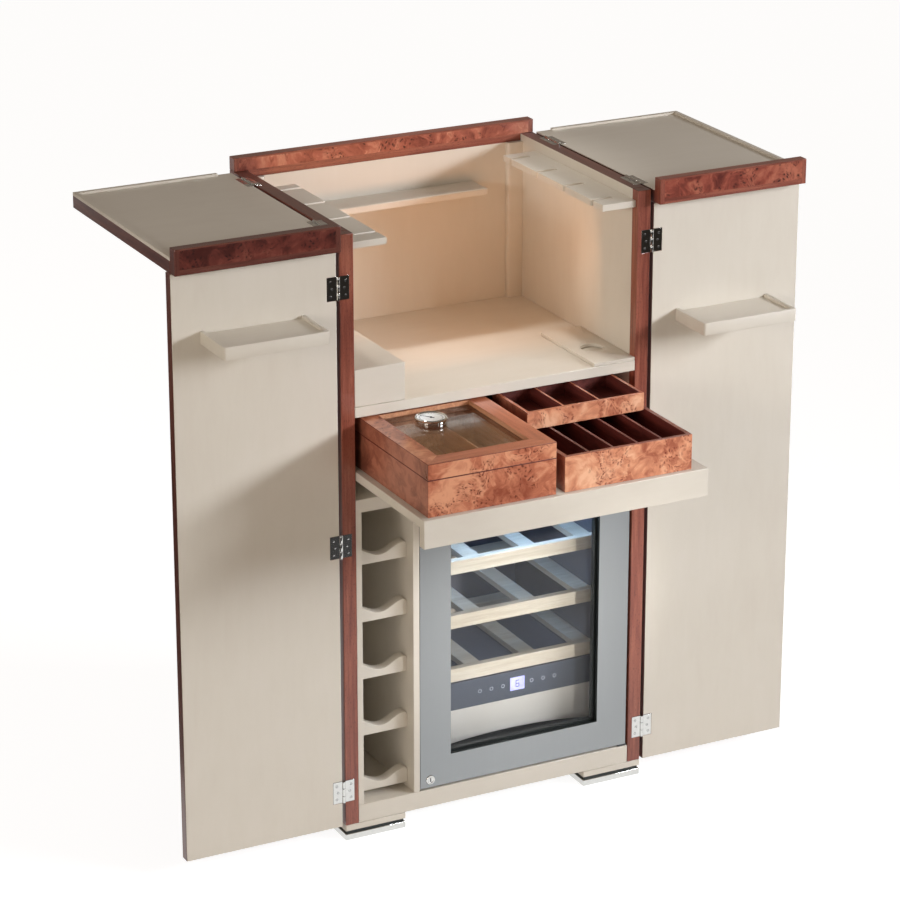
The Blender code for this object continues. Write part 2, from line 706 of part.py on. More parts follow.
def make_cooler_shelves():
    inside_x = cooler_inside()
    reach = COOLER_SHELF_TONGUE - TOUCH
    shelf_x = (inside_x[0] - reach, inside_x[1] + reach)
    front = COOLER_FRONT + COOLER_SHELF_SETBACK
    back = front + COOLER_SHELF_LENGTH
    frame_left = inside_x[0] + COOLER_SHELF_BAR
    frame_right = inside_x[1] - COOLER_SHELF_BAR
    pitch = (frame_right - frame_left + COOLER_SHELF_BAR) / COOLER_SHELF_GAPS
    for index in range(COOLER_SHELF_COUNT):
        bottom = shelf_bottom(index)
        top = bottom + COOLER_SHELF_THICKNESS
        shelf = piece(
            f"cooler_shelf_{index + 1}", box(shelf_x, (front, back), (bottom, top)), "carcass", "beech"
        )
        for gap in range(COOLER_SHELF_GAPS):
            left = frame_left + gap * pitch
            cut(
                shelf,
                box(
                    (left, left + pitch - COOLER_SHELF_BAR),
                    (front + COOLER_SHELF_BAR, back - COOLER_SHELF_BAR),
                    (bottom - COOLER_SHELF_THICKNESS, top + COOLER_SHELF_THICKNESS),
                ),
            )
        join(
            shelf,
            box(
                (inside_x[0] + RUNNING, inside_x[1] - RUNNING),
                (front, front + COOLER_SHELF_FRONT_DEPTH),
                (bottom, bottom + COOLER_SHELF_FRONT_HEIGHT),
            ),
        )


def make_cooler_door():
    front = COOLER_DOOR_SETBACK
    back = front + COOLER_DOOR_THICKNESS
    frame = piece(
        "cooler_door_frame",
        box(
            (COOLER_DOOR_LEFT, COOLER_DOOR_RIGHT),
            (front, back),
            (COOLER_DOOR_BOTTOM, COOLER_DOOR_TOP),
        ),
        "cooler_door",
        "brushed_steel",
    )
    sight_x = (COOLER_DOOR_LEFT + COOLER_STILE, COOLER_DOOR_RIGHT - COOLER_STILE)
    sight_z = (COOLER_DOOR_BOTTOM + COOLER_RAIL, COOLER_DOOR_TOP - COOLER_RAIL)
    rebate_x = (sight_x[0] - COOLER_GLASS_LAP, sight_x[1] + COOLER_GLASS_LAP)
    rebate_z = (sight_z[0] - COOLER_GLASS_LAP, sight_z[1] + COOLER_GLASS_LAP)
    glass_front = front + COOLER_GLASS_SETBACK
    beyond = COOLER_DOOR_THICKNESS
    pin_hole = COOLER_PIN_LENGTH + COOLER_PIN_RADIUS
    pin_radius = COOLER_PIN_RADIUS + TOUCH
    cut(
        frame,
        box(sight_x, (front - beyond, back + beyond), sight_z),
        box(rebate_x, (glass_front, back + beyond), rebate_z),
        rod(COOLER_PIVOT, "Z", (COOLER_DOOR_BOTTOM - beyond, COOLER_DOOR_BOTTOM + pin_hole), pin_radius),
        rod(COOLER_PIVOT, "Z", (COOLER_DOOR_TOP - pin_hole, COOLER_DOOR_TOP + beyond), pin_radius),
        rod(
            (LOCK_X, LOCK_Z),
            "Y",
            (front - beyond, front + LOCK_LENGTH + TOUCH),
            LOCK_RADIUS + TOUCH,
            ROUND_SIDES,
        ),
    )
    piece(
        "cooler_door_glass",
        box(
            (rebate_x[0] + TOUCH, rebate_x[1] - TOUCH),
            (glass_front + TOUCH, glass_front + TOUCH + COOLER_GLASS_THICKNESS),
            (rebate_z[0] + TOUCH, rebate_z[1] - TOUCH),
        ),
        "cooler_door",
        "glass",
    )
    piece(
        "cooler_lock",
        rod((LOCK_X, LOCK_Z), "Y", (front - LOCK_PROUD, front + LOCK_LENGTH), LOCK_RADIUS, ROUND_SIDES),
        "cooler_lock",
        "chrome",
        smooth=True,
    )


def make_tray():
    front = TRAY_FRONT
    board_bottom = TRAY_TOP - TRAY_THICKNESS
    apron_bottom = TRAY_TOP - APRON_HEIGHT
    outline = [
        (front, apron_bottom),
        (front + APRON_THICKNESS, apron_bottom),
        (front + APRON_THICKNESS, board_bottom),
        (front + TRAY_LENGTH, board_bottom),
        (front + TRAY_LENGTH, TRAY_TOP),
        (front, TRAY_TOP),
    ]
    tray = piece("pull_out_tray", prism(outline, "X", (-TRAY_HALF, TRAY_HALF)), "tray", "cream_lacquer")
    tongue_z = about(TRAY_TOP - TRAY_THICKNESS / 2, TONGUE_THICKNESS)
    tongue_y = (front + TRAY_LENGTH - TONGUE_LENGTH, front + TRAY_LENGTH)
    for side in SIDES:
        tongue_x = sided(side, TRAY_HALF - TONGUE_REACH, INNER + TONGUE_REACH)
        join(tray, box(tongue_x, tongue_y, tongue_z))


def make_humidor():
    x_span = (HUMIDOR_LEFT, HUMIDOR_RIGHT)
    y_span = (BOX_FRONT, HUMIDOR_BACK)
    hollow_x = (HUMIDOR_LEFT + HUMIDOR_WALL, HUMIDOR_RIGHT - HUMIDOR_WALL)
    hollow_y = (BOX_FRONT + HUMIDOR_WALL, HUMIDOR_BACK - HUMIDOR_WALL)
    case = piece("humidor_box", box(x_span, y_span, (BOX_BOTTOM, HUMIDOR_SPLIT)), "tray", "tan_burl")
    cut(case, box(hollow_x, hollow_y, (BOX_BOTTOM + HUMIDOR_BOTTOM, LID_TOP)))
    lid = piece("humidor_lid", box(x_span, y_span, (LID_BOTTOM, LID_TOP)), "humidor_lid", "tan_burl")
    pane_top = LID_TOP - HUMIDOR_LID_TOP
    sight_x = (HUMIDOR_LEFT + HUMIDOR_LID_RAIL, HUMIDOR_RIGHT - HUMIDOR_LID_RAIL)
    sight_y = (BOX_FRONT + HUMIDOR_LID_RAIL, HUMIDOR_BACK - HUMIDOR_LID_RAIL)
    cut(
        lid,
        box(hollow_x, hollow_y, (BOX_BOTTOM, pane_top)),
        box(sight_x, sight_y, (pane_top - HUMIDOR_LID_TOP, LID_TOP + HUMIDOR_LID_TOP)),
    )
    piece(
        "humidor_glass",
        box(
            (sight_x[0] - HUMIDOR_GLASS_LAP, sight_x[1] + HUMIDOR_GLASS_LAP),
            (sight_y[0] - HUMIDOR_GLASS_LAP, sight_y[1] + HUMIDOR_GLASS_LAP),
            (pane_top - TOUCH - HUMIDOR_GLASS_THICKNESS, pane_top - TOUCH),
        ),
        "humidor_lid",
        "glass",
    )


def wells(left, widths, divider):
    """Spans of the wells that stand side by side, with a divider between each two."""
    spans = []
    for width in widths:
        spans.append((left, left + width))
        left += width + divider
    return spans


def make_chips_box():
    """An open box with wells for counters. The card box slides between its walls, on its dividers."""
    right = CHIPS_LEFT + CHIPS_WIDTH
    back = BOX_FRONT + CHIPS_DEPTH
    hollow_y = (BOX_FRONT + CHIPS_WALL, back - CHIPS_WALL)
    inner_width = CHIPS_WIDTH - 2 * CHIPS_WALL
    divider_top = CHIPS_TOP - CHIPS_DIVIDER_DROP
    case = piece(
        "chips_box",
        box((CHIPS_LEFT, right), (BOX_FRONT, back), (BOX_BOTTOM, CHIPS_TOP)),
        "tray",
        "tan_burl",
    )
    cut(
        case,
        box(
            (CHIPS_LEFT + CHIPS_WALL, right - CHIPS_WALL),
            hollow_y,
            (divider_top, CHIPS_TOP + CHIPS_WALL),
        ),
    )
    width = (inner_width - (CHIPS_WELL_COUNT - 1) * CHIPS_DIVIDER) / CHIPS_WELL_COUNT
    for span in wells(CHIPS_LEFT + CHIPS_WALL, [width] * CHIPS_WELL_COUNT, CHIPS_DIVIDER):
        cut(case, box(span, hollow_y, (BOX_BOTTOM + CHIPS_BOTTOM, CHIPS_TOP)))


def make_card_box():
    left = CHIPS_LEFT + CHIPS_WALL + CARD_CLEARANCE
    right = CHIPS_LEFT + CHIPS_WIDTH - CHIPS_WALL - CARD_CLEARANCE
    front = CARD_BACK - CARD_DEPTH
    top = CARD_BOTTOM_Z + CARD_HEIGHT
    card_box = piece(
        "card_box", box((left, right), (front, CARD_BACK), (CARD_BOTTOM_Z, top)), "card_box", "tan_burl"
    )
    inner_width = right - left - 2 * CARD_WALL
    last_width = inner_width - CARD_WELL_COUNT * (CARD_WELL_WIDTH + CARD_DIVIDER)
    widths = [CARD_WELL_WIDTH] * CARD_WELL_COUNT + [last_width]
    for span in wells(left + CARD_WALL, widths, CARD_DIVIDER):
        cut(
            card_box,
            box(
                span,
                (front + CARD_WALL, CARD_BACK - CARD_WALL),
                (CARD_BOTTOM_Z + CARD_BOTTOM, top + CARD_WALL),
            ),
        )


def shelf_outline(sign, near, far, y_span):
    """A door shelf in plan: straight along the door, with its two front corners rounded."""
    front, back = y_span
    points = [(sign * near, back), (sign * far, back)]
    quarter = math.pi / 2
    for centre, start in ((far - DOOR_SHELF_CORNER, 0.0), (near + DOOR_SHELF_CORNER, -quarter)):
        for step in range(DOOR_SHELF_CORNER_STEPS + 1):
            angle = start - quarter * step / DOOR_SHELF_CORNER_STEPS
            reach = centre + DOOR_SHELF_CORNER * math.cos(angle)
            points.append((sign * reach, front + DOOR_SHELF_CORNER * (1 + math.sin(angle))))
    return points


def make_door(side):
    """A door standing open, with a shelf that has a low rim at its front and its two ends."""
    sign = SIDES[side]
    axis = f"{side}_door"
    far_edge = LEAF_EDGE_X + PANEL_WIDTH
    door = piece(
        axis,
        box(sided(side, LEAF_EDGE_X, far_edge), (0.0, DOOR_THICKNESS), (SKID_HEIGHT, DOOR_TOP)),
        axis,
        "cream_lacquer",
    )
    for height in DOOR_HINGE_HEIGHTS.values():
        leaf_end = LEAF_EDGE_X + DOOR_HINGE_LEAF + TOUCH
        cut(door, door_mortise(sign * HINGE_X, sign * leaf_end, height))
    near = LEAF_EDGE_X + DOOR_SHELF_FROM_EDGE[side]
    far = near + DOOR_SHELF_WIDTH
    bottom = WALL_TOP - DOOR_SHELF_DROP[side]
    y_span = (-TOUCH - DOOR_SHELF_DEPTH, -TOUCH)
    shelf = piece(
        f"{side}_door_shelf",
        prism(shelf_outline(sign, near, far, y_span), "Z", (bottom, bottom + DOOR_SHELF_HEIGHT)),
        axis,
        "cream_lacquer",
    )
    cut(
        shelf,
        box(
            sided(side, near + DOOR_SHELF_RIM, far - DOOR_SHELF_RIM),
            (y_span[0] + DOOR_SHELF_RIM, y_span[1] + DOOR_SHELF_RIM),
            (bottom + DOOR_SHELF_FLOOR, bottom + 2 * DOOR_SHELF_HEIGHT),
        ),
    )


def make_flap(side):
    """A top leaf lying open, lacquered face up, with a low rim at two edges and a strip at the front."""
    sign = SIDES[side]
    axis = f"{side}_flap"
    far_edge = LEAF_EDGE_X + PANEL_WIDTH
    front = -REVEAL + TOUCH
    back = RAIL_FRONT - REVEAL
    underside = WALL_TOP - FLAP_THICKNESS
    flap = piece(
        axis,
        box(sided(side, LEAF_EDGE_X, far_edge), (front, back), (underside, WALL_TOP)),
        axis,
        "cream_lacquer",
    )
    rim_z = (WALL_TOP - RIM_HEIGHT, WALL_TOP + RIM_HEIGHT)
    rim_start = LEAF_EDGE_X + WALL_THICKNESS + RIM_START
    join(
        flap,
        box(sided(side, far_edge - RIM_WIDTH, far_edge), (front, back), rim_z),
        box(sided(side, rim_start, far_edge), (back - RIM_WIDTH, back), rim_z),
    )
    for place_y in FLAP_HINGE_PLACES.values():
        leaf_end = LEAF_EDGE_X + FLAP_HINGE_LEAF + TOUCH
        cut(flap, flap_mortise(sign * HINGE_X, sign * leaf_end, place_y))
    piece(
        f"{side}_flap_strip",
        box(
            sided(side, LEAF_EDGE_X, far_edge),
            (-REVEAL - STRIP_THICKNESS, -REVEAL),
            (underside, WALL_TOP + STRIP_RISE),
        ),
        axis,
        "red_burl",
    )


def knuckle_spans(middle, length):
    """The two outer knuckles and the one between them, along a hinge."""
    half_middle = length * MIDDLE_KNUCKLE_SHARE / 2
    low, high = about(middle, length)
    outer = [(low, middle - half_middle - TOUCH / 2), (middle + half_middle + TOUCH / 2, high)]
    return outer, (middle - half_middle + TOUCH / 2, middle + half_middle - TOUCH / 2)


def door_leaf(name, axis, side, towards_post, height, bored):
    """One leaf of a door hinge. The post's leaf has the outer knuckles, the door's has the middle one."""
    sign = SIDES[side] * (-1 if towards_post else 1)
    centre_x = SIDES[side] * HINGE_X
    plate_x = (centre_x + sign * HINGE_OFFSET, centre_x + sign * (HINGE_OFFSET + DOOR_HINGE_LEAF))
    plate_y = (0.0, LEAF_THICKNESS)
    z_span = about(height, DOOR_HINGE_LENGTH)
    outer, inner = knuckle_spans(height, DOOR_HINGE_LENGTH)
    leaf = piece(name, box(plate_x, plate_y, z_span), axis, "chrome")
    knuckles = outer if towards_post else [inner]
    barrel = (centre_x, FOLD_Y)
    for span in knuckles:
        join(
            leaf,
            rod(barrel, "Z", span, DOOR_BARREL_RADIUS),
            box((centre_x, plate_x[0] + sign * HINGE_OFFSET), plate_y, span),
        )
    if bored:
        beyond = (z_span[0] - DOOR_BARREL_RADIUS, z_span[1] + DOOR_BARREL_RADIUS)
        cut(leaf, rod(barrel, "Z", beyond, DOOR_PIN_RADIUS + TOUCH))
    else:
        join(leaf, rod(barrel, "Z", z_span, DOOR_PIN_RADIUS))


def make_door_hinges(side):
    """Fixed pins at top and bottom, and a loose pin through the middle hinge."""
    for label, height in DOOR_HINGE_HEIGHTS.items():
        loose = label == "middle"
        door_leaf(f"{side}_{label}_post_leaf", "carcass", side, True, height, loose)
        door_leaf(f"{side}_{label}_door_leaf", f"{side}_door", side, False, height, True)
    middle = DOOR_HINGE_HEIGHTS["middle"]
    low, high = about(middle, DOOR_HINGE_LENGTH)
    barrel = (SIDES[side] * HINGE_X, FOLD_Y)
    pin = piece(
        f"{side}_hinge_pin",
        rod(barrel, "Z", (low - TOUCH - PIN_HEAD_HEIGHT, high + TOUCH + PIN_HEAD_HEIGHT), DOOR_PIN_RADIUS),
        f"{side}_hinge_pin",
        "chrome",
        smooth=True,
    )
    join(
        pin,
        rod(barrel, "Z", (low - TOUCH - PIN_HEAD_HEIGHT, low - TOUCH), PIN_HEAD_RADIUS),
        rod(barrel, "Z", (high + TOUCH, high + TOUCH + PIN_HEAD_HEIGHT), PIN_HEAD_RADIUS),
    )


def flap_leaf(name, axis, side, towards_wall, place_y):
    """One leaf of a flap hinge. The wall's leaf carries the fixed pin."""
    sign = SIDES[side] * (-1 if towards_wall else 1)
    centre_x = SIDES[side] * HINGE_X
    plate_x = (centre_x + sign * HINGE_OFFSET, centre_x + sign * (HINGE_OFFSET + FLAP_HINGE_LEAF))
    plate_z = (WALL_TOP - LEAF_THICKNESS, WALL_TOP)
    y_span = about(place_y, FLAP_HINGE_LENGTH)
    outer, inner = knuckle_spans(place_y, FLAP_HINGE_LENGTH)
    leaf = piece(name, box(plate_x, y_span, plate_z), axis, "chrome")
    knuckles = outer if towards_wall else [inner]
    barrel = (centre_x, FLAP_FOLD_Z)
    for span in knuckles:
        join(
            leaf,
            rod(barrel, "Y", span, FLAP_BARREL_RADIUS),
            box((centre_x, plate_x[0] + sign * HINGE_OFFSET), span, plate_z),
        )
    if towards_wall:
        join(leaf, rod(barrel, "Y", y_span, FLAP_PIN_RADIUS))
    else:
        beyond = (y_span[0] - FLAP_BARREL_RADIUS, y_span[1] + FLAP_BARREL_RADIUS)
        cut(leaf, rod(barrel, "Y", beyond, FLAP_PIN_RADIUS + TOUCH))


def make_flap_hinges(side):
    for label, place_y in FLAP_HINGE_PLACES.items():
        flap_leaf(f"{side}_{label}_wall_leaf", "carcass", side, True, place_y)
        flap_leaf(f"{side}_{label}_flap_leaf", f"{side}_flap", side, False, place_y)


def main():
    clear_scene()
    make_materials()
    make_axes()
    make_carcass()
    make_bar()
    make_bottle_rack()
    make_cooler_case()
    make_cooler_shelves()
    make_cooler_door()
    make_tray()
    make_humidor()
    make_chips_box()
    make_card_box()
    for side in SIDES:
        make_door(side)
        make_flap(side)
        make_door_hinges(side)
        make_flap_hinges(side)


main()
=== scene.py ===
# %% [markdown]
# # A bar cabinet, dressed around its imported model
#
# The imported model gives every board, hinge and box its place. This lesson puts the finishes on:
# cream lacquer inside, burl and mahogany veneer outside, satin steel, chrome and glass. It starts
# by loading the model, because each piece below takes its size and place from it.

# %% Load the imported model
import json
import math

import bmesh
import bpy
from mathutils import Color, Matrix, Quaternion, Vector


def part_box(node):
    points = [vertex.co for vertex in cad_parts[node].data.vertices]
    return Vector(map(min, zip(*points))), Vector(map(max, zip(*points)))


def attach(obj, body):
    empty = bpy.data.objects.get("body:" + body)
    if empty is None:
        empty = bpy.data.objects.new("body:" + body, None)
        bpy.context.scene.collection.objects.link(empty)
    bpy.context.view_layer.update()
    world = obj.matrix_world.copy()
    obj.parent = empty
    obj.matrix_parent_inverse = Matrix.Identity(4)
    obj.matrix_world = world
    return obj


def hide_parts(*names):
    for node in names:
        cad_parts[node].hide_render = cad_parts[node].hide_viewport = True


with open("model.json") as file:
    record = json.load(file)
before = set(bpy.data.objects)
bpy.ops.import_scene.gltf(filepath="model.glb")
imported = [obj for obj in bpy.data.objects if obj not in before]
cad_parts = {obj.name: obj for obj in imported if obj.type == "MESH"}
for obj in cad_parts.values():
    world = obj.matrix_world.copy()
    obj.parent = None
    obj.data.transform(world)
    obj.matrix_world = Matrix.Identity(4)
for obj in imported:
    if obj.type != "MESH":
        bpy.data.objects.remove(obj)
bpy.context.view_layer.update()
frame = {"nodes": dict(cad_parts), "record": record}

NODES = frame["nodes"]
BODY_OF = {
    node: body
    for body, members in frame["record"]["behaviour"]["bodies"].items()
    for node in members
}
SIDES = {"left": -1, "right": 1}
SCENE = bpy.context.scene

# %% [markdown]
# ## Camera
#
# The photograph was taken with a long lens from the front left and above. The focal length and the
# place were fitted to corners of the cabinet, so the camera needs no shift and other views stay
# square.

# %% Camera
PHOTO_SIDE = 900
FOCAL_PIXELS = 3449.0
SENSOR = 36.0
CAMERA_PLACE = (-2.693, -5.162, 2.824)
CAMERA_YAW = 27.17
CAMERA_PITCH = -20.32

camera_data = bpy.data.cameras.new("photo_camera")
camera_data.sensor_width = SENSOR
camera_data.lens = FOCAL_PIXELS * SENSOR / PHOTO_SIDE
camera = bpy.data.objects.new("photo_camera", camera_data)
camera.location = CAMERA_PLACE
camera.rotation_euler = (math.radians(90 + CAMERA_PITCH), 0.0, math.radians(-CAMERA_YAW))
SCENE.collection.objects.link(camera)
SCENE.camera = camera
SCENE.view_settings.view_transform = "Standard"
print(f"lens {camera_data.lens:.1f} mm")

# %% [markdown]
# ## Shader arithmetic
#
# A material is a sum of masks and noises. Wiring Math nodes by hand hides that sum, so a small
# class wraps a socket and lets Python's own operators add the nodes. Each operator has its
# reflected form where one is needed, so that `1 - mask` works as well as `mask * 2`.

# %% Sockets that can be added and multiplied


class Signal:
    """An output socket of a node tree, usable in Python arithmetic."""

    def __init__(self, finish, socket):
        self.finish = finish
        self.socket = socket

    def math(self, operation, first, second):
        return self.finish.node("ShaderNodeMath", {"operation": operation}, {0: first, 1: second})

    def __add__(self, other):
        return self.math("ADD", self, other)

    def __radd__(self, other):
        return self.math("ADD", other, self)

    def __sub__(self, other):
        return self.math("SUBTRACT", self, other)

    def __rsub__(self, other):
        return self.math("SUBTRACT", other, self)

    def __mul__(self, other):
        return self.math("MULTIPLY", self, other)

    def __rmul__(self, other):
        return self.math("MULTIPLY", other, self)

    def either(self, other):
        return self.math("MAXIMUM", self, other)


print("operators: + - * and either()")

# %% [markdown]
# ## One way to make every node
#
# All other nodes come from `node()`: a type, the settings that have to be made first, and the
# values or links of the sockets. The short methods under it only give names to nodes that woods and
# metals share.

# %% Node trees


class Finish:
    """The node tree of a material or of the world."""

    def __init__(self, owner):
        owner.use_nodes = True
        self.owner = owner
        self.tree = owner.node_tree

    def feed(self, socket, value):
        if isinstance(value, Signal):
            self.tree.links.new(value.socket, socket)
        else:
            socket.default_value = value

    def node(self, kind, settings=None, sockets=None, output=0):
        made = self.tree.nodes.new(kind)
        for name, value in (settings or {}).items():
            if name == "stops":
                self.set_stops(made.color_ramp, value)
            else:
                setattr(made, name, value)
        for name, value in (sockets or {}).items():
            self.feed(made.inputs[name], value)
        return Signal(self, made.outputs[output])

    def set_stops(self, ramp, stops):
        while len(ramp.elements) < len(stops):
            ramp.elements.new(1.0)
        for element, (position, colour) in zip(ramp.elements, stops):
            element.position = position
            element.color = colour

    def place(self):
        return self.node("ShaderNodeTexCoord", output="Object")

    def stretched(self, along, share):
        """Object coordinates squeezed on one axis, so that a noise on them runs along it."""
        scale = [1.0, 1.0, 1.0]
        scale["XYZ".index(along)] = share
        return self.node("ShaderNodeMapping", {}, {"Vector": self.place(), "Scale": scale})

    def noise(self, vector, scale, detail=3.0, roughness=0.5, distortion=0.0):
        sockets = {
            "Vector": vector,
            "Scale": scale,
            "Detail": detail,
            "Roughness": roughness,
            "Distortion": distortion,
        }
        return self.node("ShaderNodeTexNoise", {}, sockets)

    def between(self, value, start, end):
        """Nought at start, one at end, with a soft step between them."""
        sockets = {"Value": value, "From Min": start, "From Max": end}
        return self.node("ShaderNodeMapRange", {"interpolation_type": "SMOOTHSTEP"}, sockets)

    def ramp(self, value, *stops):
        return self.node("ShaderNodeValToRGB", {"stops": stops}, {"Fac": value})

    def blend(self, first, second, share):
        sockets = {0: share, 6: first, 7: second}
        return self.node("ShaderNodeMix", {"data_type": "RGBA"}, sockets, output=2)

    def relief(self, height, depth):
        return self.node("ShaderNodeBump", {}, {"Distance": depth, "Height": height})

    def shade(self, sockets):
        shader = self.tree.nodes["Principled BSDF"]
        for name, value in sockets.items():
            self.feed(shader.inputs[name], value)

    def close(self, shader, output="Material Output"):
        self.feed(self.tree.nodes[output].inputs["Surface"], shader)


def new_finish(name):
    return Finish(bpy.data.materials.new(name))


def tone(red, green, blue):
    """A colour in screen values from 0 to 255, turned into the linear values that nodes use."""
    linear = Color((red / 255, green / 255, blue / 255)).from_srgb_to_scene_linear()
    return (*linear, 1.0)


def tones(*colours):
    return [tone(*colour) for colour in colours]


print("cream", [round(value, 3) for value in tone(219, 212, 199)])

# %% [markdown]
# ## Studio
#
# The floor is white paper. What the camera, a mirror or a glass sees of it glows a little, so that
# it is white up to the edge of the picture, and the rest of its brightness is light that falls on
# it, so it keeps the cabinet's shadow. Other rays meet plain paper, which throws light back up as
# paper does. The room above is white to the camera only: the photographed tops mirror a dim studio,
# not a white one.

# %% Floor and surroundings
FLOOR_REACH = 16.0
FLOOR_SIDES = 64
FLOOR_GLOW = 0.90
FLOOR_PAPER = 0.34
FLOOR_BOUNCE = (0.80, 0.75, 0.68, 1.0)
AMBIENT = 0.25
AMBIENT_COLOUR = (1.0, 0.84, 0.69, 1.0)
WHITE = (1.0, 1.0, 1.0, 1.0)


def seen_rays(finish, *names):
    """One for the named kinds of ray, which show a surface as an image and don't gather light."""
    seen = finish.node("ShaderNodeLightPath", output="Is Camera Ray")
    for name in names:
        seen = seen.either(finish.node("ShaderNodeLightPath", output=name))
    return seen


def mesh_of(name, shape, finishes):
    """A plain mesh of a shape, with its finishes in the order that the faces count them."""
    mesh = bpy.data.meshes.new(name)
    shape.to_mesh(mesh)
    shape.free()
    for finish in finishes:
        mesh.materials.append(finish)
    return mesh


def make_floor():
    paper = new_finish("white_paper")
    plain = paper.node("ShaderNodeBsdfDiffuse", {}, {"Color": FLOOR_BOUNCE})
    catch = paper.node("ShaderNodeBsdfDiffuse", {}, {"Color": (FLOOR_PAPER,) * 3 + (1.0,)})
    glow = paper.node("ShaderNodeEmission", {}, {"Color": WHITE, "Strength": FLOOR_GLOW})
    shown = paper.node("ShaderNodeAddShader", {}, {0: catch, 1: glow})
    seen = seen_rays(paper, "Is Glossy Ray", "Is Transmission Ray")
    paper.close(paper.node("ShaderNodeMixShader", {}, {0: seen, 1: plain, 2: shown}))
    shape = bmesh.new()
    bmesh.ops.create_circle(shape, cap_ends=True, segments=FLOOR_SIDES, radius=FLOOR_REACH)
    floor = bpy.data.objects.new("studio_floor", mesh_of("studio_floor", shape, [paper.owner]))
    SCENE.collection.objects.link(floor)


def make_surroundings():
    world = Finish(bpy.data.worlds.new("studio"))
    SCENE.world = world.owner
    soft = world.node("ShaderNodeBackground", {}, {"Color": AMBIENT_COLOUR, "Strength": AMBIENT})
    white = world.node("ShaderNodeBackground", {}, {"Color": WHITE, "Strength": 1.0})
    seen = seen_rays(world, "Is Transmission Ray")
    mixed = world.node("ShaderNodeMixShader", {}, {0: seen, 1: soft, 2: white})
    world.close(mixed, "World Output")


make_floor()
make_surroundings()
print(f"floor glow {FLOOR_GLOW}, ambient {AMBIENT}")

# %% [markdown]
# ## Lamps
#
# The tray's shadow on the left door says where the key lamp stood: well round to the right and
# about twenty degrees up. The shadow's upper edge is sharp and its lower one melts away, so the
# lamp is a strip, rolled until it runs with the boxes' sides. A weak lamp opens the shadows from
# the left, and narrow ones light the boxes, the bar's right wall, its floor and the cooler. A small
# amber one warms the back of the bar. Polish shows whatever it faces, and the upper hinges and the
# left edges are dark in the photograph, so a black card lies on the floor in front and at the left,
# seen by nothing but mirrors.

# %% Lamps
CABINET_MIDDLE = (0.0, 0.0, 0.62)
KEY_AIM = (-0.40, -0.10, 0.40)
KEY_ROLL = math.radians(14.8)
BAR_WALL = (0.285, 0.03, 0.98)
BAR_FLOOR = (0.05, 0.0, 0.87)
BAR_BACK = (0.03, 0.33, 0.98)
BOXES_MIDDLE = (0.10, -0.25, 0.80)
COOLER_MIDDLE = (0.06, -0.05, 0.36)
CARD_NEAR = -1.15
CARD_FAR = -7.0
CARD_BEHIND = 4.0
CARD_HALF_WIDTH = 4.0
CARD_LEFT = -0.75
CARD_HEIGHT = 0.02


def add_lamp(name, kind, place, aim, power, colour, roll=0.0, **settings):
    data = bpy.data.lights.new(name, kind)
    data.energy = power
    data.color = colour
    for setting, value in settings.items():
        setattr(data, setting, value)
    lamp = bpy.data.objects.new(name, data)
    lamp.location = place
    turn = (Vector(aim) - Vector(place)).to_track_quat("-Z", "Y")
    lamp.rotation_euler = (turn @ Quaternion((0.0, 0.0, 1.0), roll)).to_euler()
    SCENE.collection.objects.link(lamp)


def add_black_card():
    black = new_finish("black_card")
    fibres = black.noise(black.place(), 40.0)
    black.shade({"Base Color": black.ramp(fibres, (0.3, tone(5, 5, 5)), (0.7, tone(12, 12, 12)))})
    outline = [
        (-CARD_HALF_WIDTH, CARD_FAR),
        (CARD_HALF_WIDTH, CARD_FAR),
        (CARD_HALF_WIDTH, CARD_NEAR),
        (CARD_LEFT, CARD_NEAR),
        (CARD_LEFT, CARD_BEHIND),
        (-CARD_HALF_WIDTH, CARD_BEHIND),
    ]
    mesh = bpy.data.meshes.new("black_card")
    mesh.from_pydata([(x, y, CARD_HEIGHT) for x, y in outline], [], [range(len(outline))])
    mesh.materials.append(black.owner)
    card = bpy.data.objects.new("black_card", mesh)
    card.visible_camera = False
    card.visible_diffuse = False
    card.visible_transmission = False
    card.visible_shadow = False
    SCENE.collection.objects.link(card)


add_lamp("key_lamp", "AREA", place=(3.0, -2.65, 2.0), aim=KEY_AIM,
         power=28.5, colour=(0.945, 0.985, 1.06), roll=KEY_ROLL,
         shape="RECTANGLE", size=2.4, size_y=0.55, spread=math.radians(75))
add_lamp("fill_lamp", "AREA", place=(-3.7, -2.1, 1.7), aim=CABINET_MIDDLE,
         power=31.0, colour=(1.0, 0.92, 0.83), shape="DISK", size=2.0)
add_lamp("bar_wall_lamp", "SPOT", place=(-3.2, -1.3, 1.75), aim=BAR_WALL,
         power=430.0, colour=(1.0, 0.97, 0.93),
         spot_size=math.radians(8), spot_blend=0.8, shadow_soft_size=0.45)
add_lamp("boxes_lamp", "SPOT", place=(1.6, -3.4, 1.9), aim=BOXES_MIDDLE,
         power=120.0, colour=(1.0, 0.98, 0.96),
         spot_size=math.radians(10), spot_blend=0.8, shadow_soft_size=0.15)
add_lamp("bar_floor_lamp", "SPOT", place=(0.0, 1.4, 3.2), aim=BAR_FLOOR,
         power=145.0, colour=(1.0, 0.98, 0.95),
         spot_size=math.radians(13.6), spot_blend=0.6, shadow_soft_size=0.15)
add_lamp("bar_back_lamp", "AREA", place=(0.03, 0.02, 1.0), aim=BAR_BACK,
         power=0.33, colour=(1.0, 0.46, 0.20), shape="RECTANGLE", size=0.36, size_y=0.08)
add_lamp("cooler_spot", "SPOT", place=(0.85, -3.2, 0.8), aim=COOLER_MIDDLE,
         power=260.0, colour=(1.0, 0.98, 0.95),
         spot_size=math.radians(9), spot_blend=0.5, shadow_soft_size=0.10)
add_black_card()
print("seven lamps and a card")

